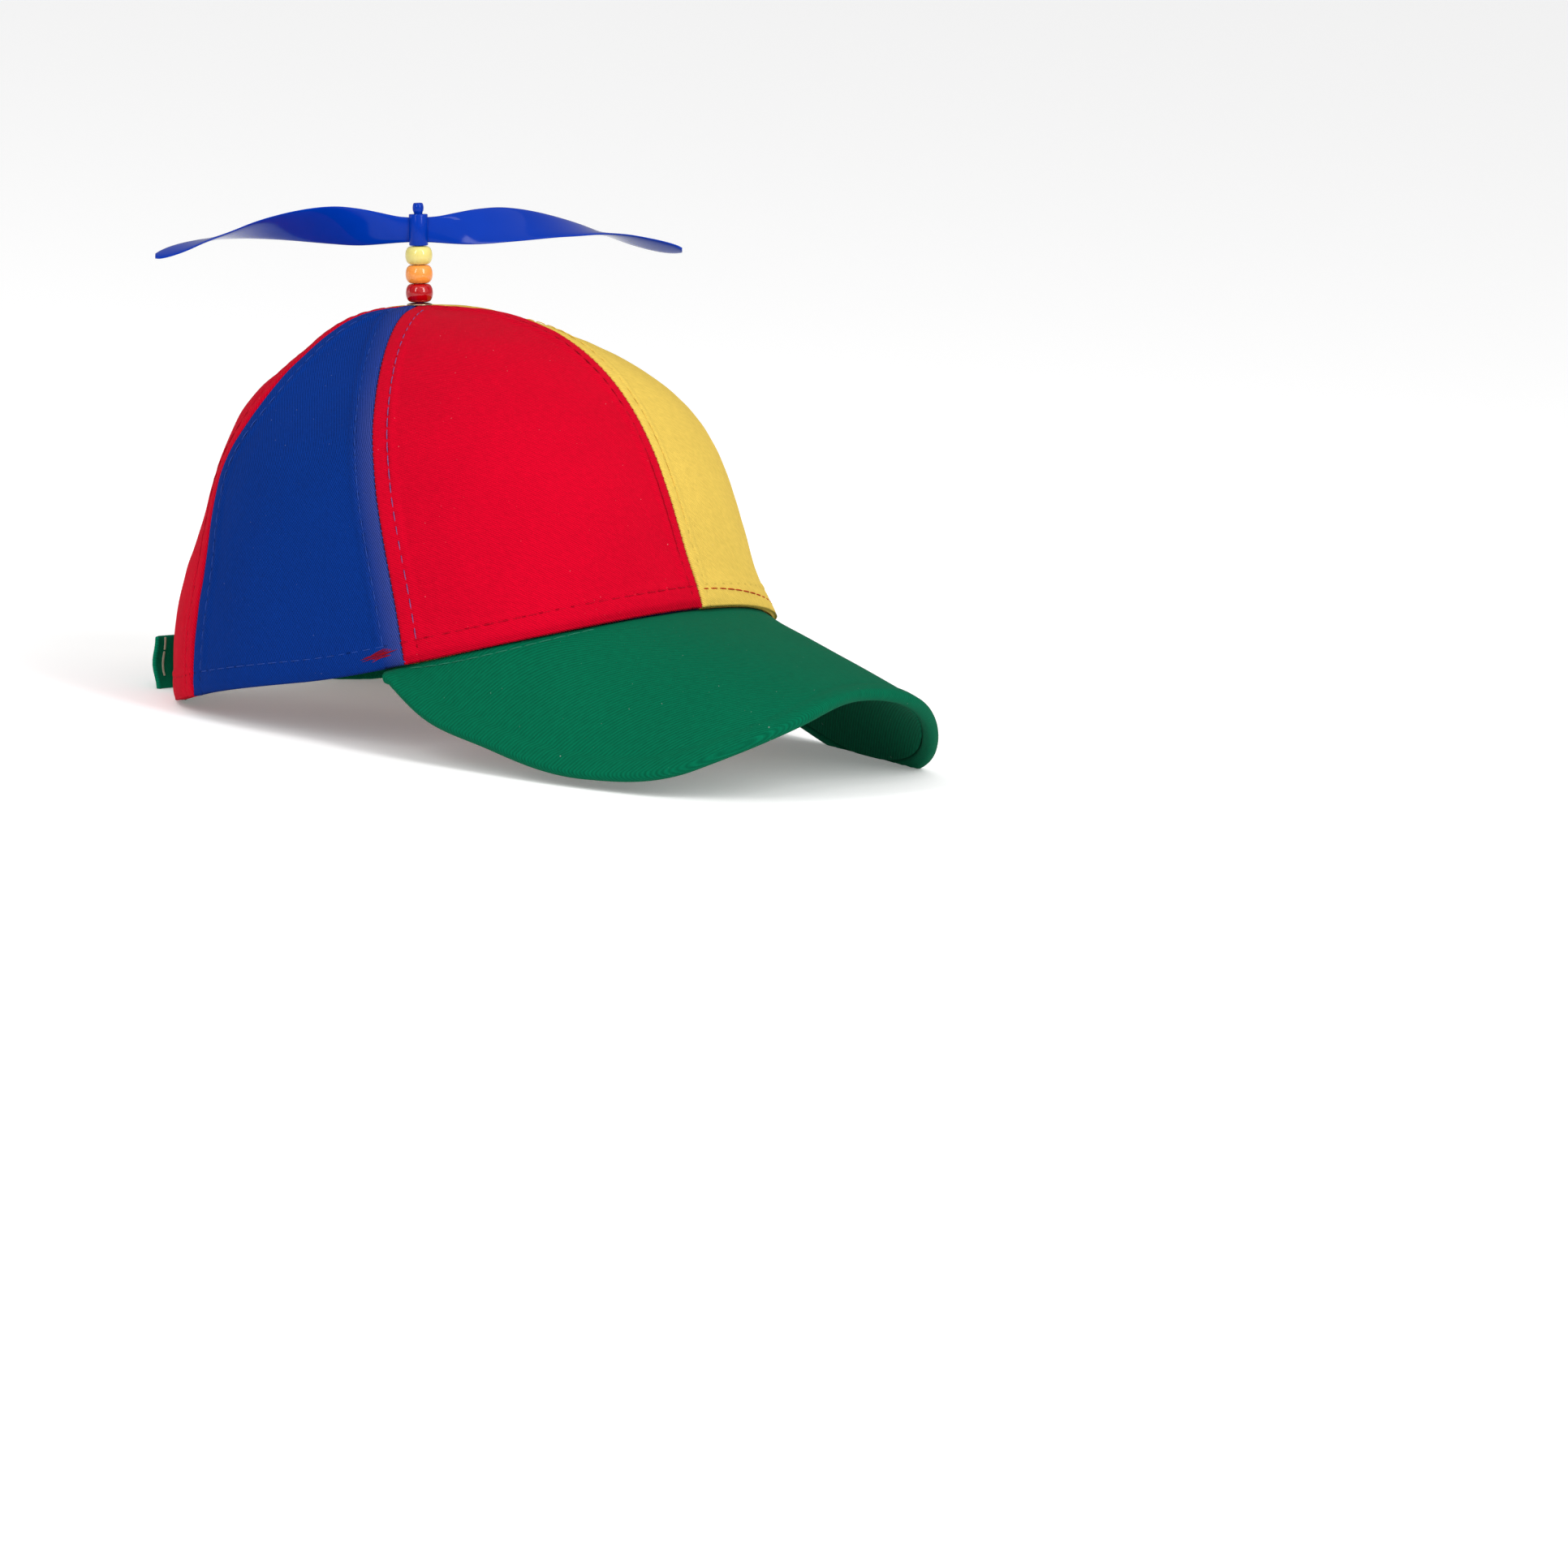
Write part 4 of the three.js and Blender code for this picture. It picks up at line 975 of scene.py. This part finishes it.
class Shader:
    """The nodes of one material."""

    def __init__(self, name):
        self.material = bpy.data.materials.new(name)
        self.material.use_nodes = True
        self.tree = self.material.node_tree
        self.tree.nodes.clear()

    def node(self, kind, settings=None, inputs=None):
        """Adds a node: its settings first, then the values or links of its sockets."""
        made = self.tree.nodes.new(kind)
        for name, value in (settings or {}).items():
            setattr(made, name, value)
        for name, value in (inputs or {}).items():
            if isinstance(value, Value):
                self.tree.links.new(value.socket, made.inputs[name])
            else:
                made.inputs[name].default_value = value
        return made

    def maths(self, operation, *values):
        made = self.node("ShaderNodeMath", {"operation": operation}, dict(enumerate(values)))
        return Value(self, made.outputs[0])

    def layer(self, name):
        """The three numbers of a cloth layer at each place."""
        stored = self.node("ShaderNodeAttribute", {"attribute_name": name})
        parts = self.node("ShaderNodeSeparateXYZ", None, {0: Value(self, stored.outputs["Vector"])})
        return [Value(self, output) for output in parts.outputs]

    def place(self, x, y, z=0.0):
        return Value(self, self.node("ShaderNodeCombineXYZ", None, {0: x, 1: y, 2: z}).outputs[0])

    def noise(self, place, scale, detail=2.0, roughness=0.5):
        inputs = {"Vector": place, "Scale": scale, "Detail": detail, "Roughness": roughness}
        return Value(self, self.node("ShaderNodeTexNoise", None, inputs).outputs[0])

    def ramp(self, value, low, high):
        """Runs smoothly from 0 to 1 as a value runs from low to high."""
        inputs = {0: value, 1: low, 2: high}
        return Value(self, self.node("ShaderNodeMapRange", {"interpolation_type": "SMOOTHSTEP"}, inputs).outputs[0])

    def ridge(self, value, centre, width):
        """One at a value, falling to nothing at a width either side."""
        return 1 - self.ramp(self.maths("ABSOLUTE", value - centre), 0.0, width)

    def mix(self, factor, first, second):
        made = self.node("ShaderNodeMix", {"data_type": "RGBA"}, {0: factor, 6: first, 7: second})
        return Value(self, made.outputs[2])

    def scaled(self, colour, amount):
        """A colour made darker or lighter by a value."""
        grey = self.place(amount, amount, amount)
        made = self.node("ShaderNodeVectorMath", {"operation": "MULTIPLY"}, {0: colour[:3], 1: grey})
        return Value(self, made.outputs[0])

    def finish(self, bump=None, strength=0.5, depth=0.0002, **inputs):
        """Puts the surface on the material."""
        settings = {name.replace("_", " "): value for name, value in inputs.items()}
        if bump is not None:
            raised = self.node("ShaderNodeBump", None, {"Strength": strength, "Distance": depth, "Height": bump})
            settings["Normal"] = Value(self, raised.outputs[0])
        surface = self.node("ShaderNodeBsdfPrincipled", None, settings)
        self.node("ShaderNodeOutputMaterial", None, {"Surface": Value(self, surface.outputs[0])})
        return self.material


def twill(name, colour, rows=None, rib_pitch=0.64, lint=0.2, ribs=0.34, band=0.0, hole_shade=0.55):
    """Cotton twill: leaning ribs with painted shade in their valleys, uneven yarn, a soft dye and stitch holes along
    its rows darkened with painted shade. A band adds a pale seam edge of wear and painted sheen, and painted light
    towards the top.
    """
    shader = Shader(name)
    over, down = shader.layer("weave")[:2]
    rib = shader.maths("SINE", over * (2 * math.pi / rib_pitch)) * 0.5 + 0.5
    yarn = shader.noise(shader.place(over * 1.6, down * 0.35), 1.0, 2.0, 0.6)
    tuck = shader.maths("SINE", down * (2 * math.pi / 0.9) + over * 4.0) * 0.5 + 0.5
    cloud = shader.noise(shader.place(over * 0.03, down * 0.03), 1.0, 3.0, 0.55)
    fluff = shader.noise(shader.place(over * 1.1, down * 1.1), 1.0, 1.0, 0.4)
    height = rib * 0.55 + yarn * 0.5 + tuck * 0.12
    # The colour follows the rib pattern and is darker in the rib valleys: painted shade in the weave.
    shade = rib * ribs + shader.ramp(yarn, 0.3, 0.7) * 0.14 + shader.ramp(cloud, 0.3, 0.7) * 0.06 + (0.9 - ribs / 2)
    base = shader.scaled((*colour, 1.0), shade)
    specks = shader.ramp(fluff, 0.78, 0.84) * lint
    base = shader.mix(specks, base, (0.75, 0.75, 0.78, 1.0))
    if rows:
        near, far, above = shader.layer("edges")
        up, round_way = shader.layer("runs")[:2]
        holes = shader.maths("MAXIMUM", shader.ridge(near, rows[0], 0.45), shader.ridge(far, rows[1], 0.45))
        pulse = shader.ramp(shader.maths("COSINE", up * (2 * math.pi / STITCH_PITCH)), 0.55, 0.95)
        low_pulse = shader.ramp(shader.maths("COSINE", round_way * (2 * math.pi / STITCH_PITCH)), 0.55, 0.95)
        hole_dents_and_shade = shader.maths("MAXIMUM", holes * pulse, shader.ridge(above, RIM_ROW, 0.45) * low_pulse)
        # Needle holes are darkened in the base colour (painted shade); the same mask also sinks them in the bump.
        base = shader.mix(hole_dents_and_shade * hole_shade, base, (colour[0] * 0.12, colour[1] * 0.12, colour[2] * 0.12, 1.0))
        height = height - hole_dents_and_shade * 1.5
        if band:
            # Beside the seam the cloth turns paler along its ribs: wear and a painted sheen.
            pale_band_wear_and_sheen = shader.ramp(near, rows[0] + 2.4, 0.0) * (rib * 0.8 + 0.2) * band
            pale = (colour[0] + 0.045, colour[1] + 0.035, colour[2] + 0.05)
            base = shader.mix(pale_band_wear_and_sheen, base, (*pale, 1.0))
            # Towards the top of the crown the ribs are lightened: painted light.
            painted_top_light = tuple(channel * 1.5 for channel in colour)
            base = shader.mix(shader.ramp(up, 84.0, 116.0) * rib * 0.7, base, (*painted_top_light, 1.0))
    return shader.finish(
        bump=height, strength=0.55, depth=0.00022, Base_Color=base, Roughness=0.9,
        Sheen_Weight=0.012, Sheen_Roughness=0.4, Specular_IOR_Level=0.04,
    )


def thread(name, colour):
    """Twisted sewing thread."""
    shader = Shader(name)
    grain = shader.noise(Value(shader, shader.node("ShaderNodeTexCoord").outputs["Object"]), 1600.0, 2.0)
    base = shader.scaled((*colour, 1.0), grain * 0.7 + 0.55)
    return shader.finish(
        bump=grain, strength=0.4, depth=0.0001, Base_Color=base, Roughness=0.75, Specular_IOR_Level=0.08,
    )


def moulded(name, colour, roughness=0.12, gloss=0.25):
    """Glossy moulded plastic with faint flow marks and dust."""
    shader = Shader(name)
    where = Value(shader, shader.node("ShaderNodeTexCoord").outputs["Object"])
    flow = shader.noise(where, 90.0, 2.0)
    dust = shader.noise(where, 1100.0, 1.0)
    base = shader.scaled((*colour, 1.0), flow * 0.16 + 0.92)
    haze = shader.ramp(flow, 0.3, 0.7) * 0.06 + shader.ramp(dust, 0.74, 0.82) * 0.15 + roughness
    return shader.finish(
        bump=flow, strength=0.08, depth=0.0003, Base_Color=base, Roughness=haze, Specular_IOR_Level=gloss,
    )


def pressed_brass(name):
    shader = Shader(name)
    where = Value(shader, shader.node("ShaderNodeTexCoord").outputs["Object"])
    stain = shader.noise(where, 700.0, 3.0)
    base = shader.mix(shader.ramp(stain, 0.35, 0.65), (0.62, 0.52, 0.33, 1.0), (0.36, 0.28, 0.16, 1.0))
    dull = stain * 0.25 + 0.22
    return shader.finish(bump=stain, strength=0.15, depth=0.0001, Base_Color=base, Metallic=1.0, Roughness=dull)


def plain_floor(name):
    shader = Shader(name)
    white = (0.92, 0.92, 0.92, 1.0)
    return shader.finish(
        Base_Color=white, Roughness=0.9, Specular_IOR_Level=0.1, Emission_Color=white, Emission_Strength=0.22,
    )


CLOTH_COLOURS = {
    "red": (0.5, 0.0003, 0.0145),
    "blue": (0.0012, 0.024, 0.178),
    "yellow": (0.63, 0.44, 0.08),
    "green": (0.0003, 0.101, 0.048),
}
PEAK_UNDER_COLOUR = (0.0, 0.085, 0.04)
# The strap's green is lighter than the same green cloth on the peak: painted light on the strap.
STRAP_COLOUR_WITH_PAINTED_LIGHT = (0.001, 0.17, 0.085)
PILE_COLOUR = (0.0, 0.07, 0.035)
PLASTIC_COLOUR = (0.0, 0.03, 0.33)
BEAD_COLOURS = {"red": (0.42, 0.0, 0.003), "orange": (0.86, 0.3, 0.05), "yellow": (0.72, 0.63, 0.19)}
THREAD_COLOURS = {
    "red": (0.45, 0.0, 0.015),
    "blue": (0.02, 0.06, 0.3),
    "grey_blue": (0.17, 0.08, 0.24),
    "rust": (0.42, 0.035, 0.008),
    "yellow": (0.75, 0.5, 0.09),
    "green": (0.02, 0.17, 0.1),
    "tack": (0.25, 0.002, 0.013),
}
TAPE_COLOUR = (0.55, 0.47, 0.36)
CLOTH_LOOKS = {
    "red": {"ribs": 0.34},
    "blue": {"ribs": 0.8, "band": 0.9},
    "yellow": {"ribs": 0.22, "hole_shade": 0.2},
}


# Putting the cap together
def keep(made, body, slot, *nodes, material=None):
    """Lets a piece ride with its body, hides the nodes that it stands for and puts its material on it; the slot is not
    used.
    """
    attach(made, body)
    if nodes:
        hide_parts(*nodes)
    if material:
        made.data.materials.clear()
        made.data.materials.append(material)
    return made


def make_crown():
    for panel in PANELS:
        colour = CLOTH_COLOURS[panel["cloth"]]
        look = CLOTH_LOOKS[panel["cloth"]]
        cloth = twill("twill_" + panel["name"], colour, rows=panel["rows"], **look)
        made = crown_panel(panel)
        keep(made, "cap", "cloth_" + panel["cloth"], "panel_" + panel["name"], material=cloth)


def make_stitching():
    by_name = {panel["name"]: panel for panel in PANELS}
    threads = {name: thread("thread_" + name, colour) for name, colour in THREAD_COLOURS.items()}
    rows = [
        ("stitches_front_right", "red", "cloth_red", [("front_right", 0), ("front_right", "rim")]),
        ("stitches_front_right_side", "grey_blue", "cloth_red", [("front_right", 1)]),
        ("stitches_front_left", "yellow", "cloth_yellow", [("front_left", 0), ("front_left", 1)]),
        ("stitches_front_left_rim", "rust", "cloth_yellow", [("front_left", "rust")]),
        ("stitches_front_seam", "red", "cloth_red", [("front_right", "ticks")]),
        ("stitches_side_seams", "blue", "cloth_blue", [("side_right", "ticks"), ("side_left", "ticks")]),
        ("stitches_sides", "blue", "cloth_blue", [
            (name, way) for name in ("side_right", "side_left") for way in (0, 1, "rim")
        ]),
        ("stitches_rear_right", "red", "cloth_red", [("rear_right", way) for way in (0, 1, "rim", "arch")]),
        ("stitches_rear_left", "yellow", "cloth_yellow", [("rear_left", way) for way in (0, 1, "rim", "arch")]),
    ]
    for name, colour, slot, places in rows:
        made = []
        for panel_name, way in places:
            panel = by_name[panel_name]
            if way == "rust":
                made.append(rim_row(panel, **RUST_ROW))
            elif way == "rim":
                made.append(rim_row(panel))
            elif way == "arch":
                made.append(arch_row(panel["side"]))
            elif way == "ticks":
                made.append(seam_row(panel, 0, **SEAM_TICKS))
            else:
                made.append(seam_row(panel, way, low=3.4, high=83.0))
        keep(join_rows(name, made), "cap", slot, material=threads[colour])
    keep(join_rows("stitches_peak", [peak_row(-1.25, 0.36, 0.86)]), "cap", "cloth_green", material=threads["green"])
    keep(join_rows("bar_tack", bar_tack()), "cap", "cloth_red", material=threads["tack"])


def make_peak():
    green = twill("twill_peak", CLOTH_COLOURS["green"])
    under = twill("twill_peak_under", PEAK_UNDER_COLOUR)
    keep(peak_cover(), "cap", "cloth_green", "peak", material=green)
    keep(peak_under(), "cap", "cloth_green", "peak_lining", material=under)


def make_strap():
    # The strap's cloth carries painted light in its lighter green.
    green = twill("twill_strap", STRAP_COLOUR_WITH_PAINTED_LIGHT)
    pile = twill("pile_fastener", PILE_COLOUR, rib_pitch=1.2)
    keep(strap_band("strap_band_right", RIGHT_STRAP_ROWS, 1), "cap", "cloth_green", "strap_right", material=green)
    keep(strap_band("strap_band_left", LEFT_STRAP_ROWS, -1), "cap", "cloth_green", "strap_left", material=green)

    def between(turn):
        return strap_offset(LEFT_STRAP_ROWS, 360 - turn) - CLOTH - CLEARANCE

    middle = sum(PAD_TURNS) / 2
    gap = between(middle) - CLEARANCE - strap_offset(RIGHT_STRAP_ROWS, middle)
    patch = strap_band("fastener_pad", RIGHT_STRAP_ROWS, 1, (0.1, 0.9), between, PAD_TURNS, float(gap) * 0.9)
    keep(patch, "cap", "fastener", "strap_fastener", material=pile)

    def inside(turn):
        return strap_offset(LEFT_STRAP_ROWS, turn) - CLOTH - 0.05

    tape = thread("tape", TAPE_COLOUR)
    for index, span in enumerate(TAPE_SPANS):
        name = "strap_tape_%d" % (index + 1)
        strip = strap_band(name, LEFT_STRAP_ROWS, -1, span, inside, TAPE_TURNS, 0.3, columns=5)
        keep(strip, "cap", "cloth_green", material=tape)


def make_mast():
    blue = moulded("plastic_blue", PLASTIC_COLOUR, roughness=0.07, gloss=0.12)
    keep(eyelet_ring(), "cap", "brass", "eyelet", material=pressed_brass("brass"))
    keep(stem_body(), "cap", "plastic_blue", "stem", material=blue)
    for index, (name, colour) in enumerate(BEAD_COLOURS.items()):
        gloss = moulded("gloss_" + name, colour, roughness=0.04, gloss=0.5)
        keep(bead("bead_turned_" + name, index), "cap", "bead_" + name, "bead_" + name, material=gloss)
    blades, hub = propeller_shape()
    keep(blades, "propeller", "plastic_blue", "propeller", material=blue)
    keep(hub, "propeller", "plastic_blue", material=blue)
    keep(hub_mould_line(), "propeller", "plastic_blue", material=blue)


# Camera, floor and light
PHOTO_SIDE = 1932
PHOTO_SCALE = 3.73
PHOTO_APEX = (517.0, 377.0)
CAMERA_DISTANCE = 6000.0
CAMERA_TURN = math.radians(-52.3)
CAMERA_RISE = math.radians(1.0)
CAMERA_ROLL = math.radians(-5.4)


def make_camera():
    """A long lens that sees the crown as the photograph does, with the stem hole at its place."""
    back = np.array([
        math.sin(CAMERA_TURN) * math.cos(CAMERA_RISE),
        -math.cos(CAMERA_TURN) * math.cos(CAMERA_RISE),
        math.sin(CAMERA_RISE),
    ])
    level = unit(np.cross(-back, [0.0, 0.0, 1.0]))
    upright = np.cross(level, -back)
    right = level * math.cos(CAMERA_ROLL) + upright * math.sin(CAMERA_ROLL)
    up = -level * math.sin(CAMERA_ROLL) + upright * math.cos(CAMERA_ROLL)
    aside = (PHOTO_APEX[0] - PHOTO_SIDE / 2) / PHOTO_SCALE
    below = (PHOTO_APEX[1] - PHOTO_SIDE / 2) / PHOTO_SCALE
    place = -aside * right + below * up + back * CAMERA_DISTANCE
    lens = bpy.data.cameras.new("camera")
    lens.sensor_width = 36.0
    lens.lens = 36.0 * CAMERA_DISTANCE * PHOTO_SCALE / PHOTO_SIDE
    lens.clip_end = 100.0
    camera = bpy.data.objects.new("camera", lens)
    bpy.context.scene.collection.objects.link(camera)
    matrix = Matrix(np.stack([CROWN_TO_ROW @ right, CROWN_TO_ROW @ up, CROWN_TO_ROW @ back], 1).tolist()).to_4x4()
    matrix.translation = Vector(crown_to_row(place))
    camera.matrix_world = matrix
    bpy.context.scene.camera = camera
    return matrix


# Lights about the cap's middle as the camera sees it, in metres and watts. The size is across and up.
LIGHTS = table("name across above towards size power",
    ("box_right", 1.16, 1.0, 1.29, (0.5, 1.3), 20.0),
    ("box_left", -1.0, 1.05, 1.36, (0.28, 1.3), 11.0),
    ("box_above", 0.4, 1.6, 1.1, (0.7, 0.22), 3.0),
    ("box_behind", -1.5, 0.45, -0.25, (0.4, 0.8), 2.0),
)
OVERHEAD = {"across": 0.8, "above": 1.9, "towards": 0.9, "strength": 1.1, "spread": 110}
WORLD_STRENGTH = 0.4
FLOOR_REACH = 30


def add_light(name, kind, settings, place, target):
    light = bpy.data.lights.new(name, kind)
    for key, value in settings.items():
        setattr(light, key, value)
    made = bpy.data.objects.new(name, light)
    bpy.context.scene.collection.objects.link(made)
    made.location = place
    made.rotation_euler = (target - place).to_track_quat("-Z", "Y").to_euler()


def make_studio(view):
    right, back = view.col[0].to_3d(), view.col[2].to_3d()
    middle = Vector((0.0, 0.0, 0.09))
    towards = Vector((back.x, back.y, 0)).normalized()

    def beside(row):
        return middle + right * row["across"] + Vector((0, 0, row["above"])) + towards * row["towards"]

    for row in LIGHTS:
        wide, tall = row["size"]
        settings = {"shape": "RECTANGLE", "size": wide, "size_y": tall, "energy": row["power"]}
        add_light(row["name"], "AREA", settings, beside(row), middle)
    settings = {"energy": OVERHEAD["strength"], "angle": math.radians(OVERHEAD["spread"])}
    add_light("overhead", "SUN", settings, beside(OVERHEAD), middle)
    bpy.context.scene.view_settings.view_transform = "Standard"
    world = bpy.data.worlds.new("studio")
    world.use_nodes = True
    background = world.node_tree.nodes["Background"].inputs
    background["Color"].default_value = (1.0, 1.0, 1.0, 1.0)
    background["Strength"].default_value = WORLD_STRENGTH
    bpy.context.scene.world = world
    corners = [(x * FLOOR_REACH, y * FLOOR_REACH, 0) for x, y in ((-1, -1), (1, -1), (1, 1), (-1, 1))]
    floor = add_mesh("floor", corners, [(0, 1, 2, 3)])
    floor.data.materials.append(plain_floor("pale_floor"))


view = make_camera()
make_crown()
make_peak()
make_strap()
make_mast()
make_stitching()
make_studio(view)
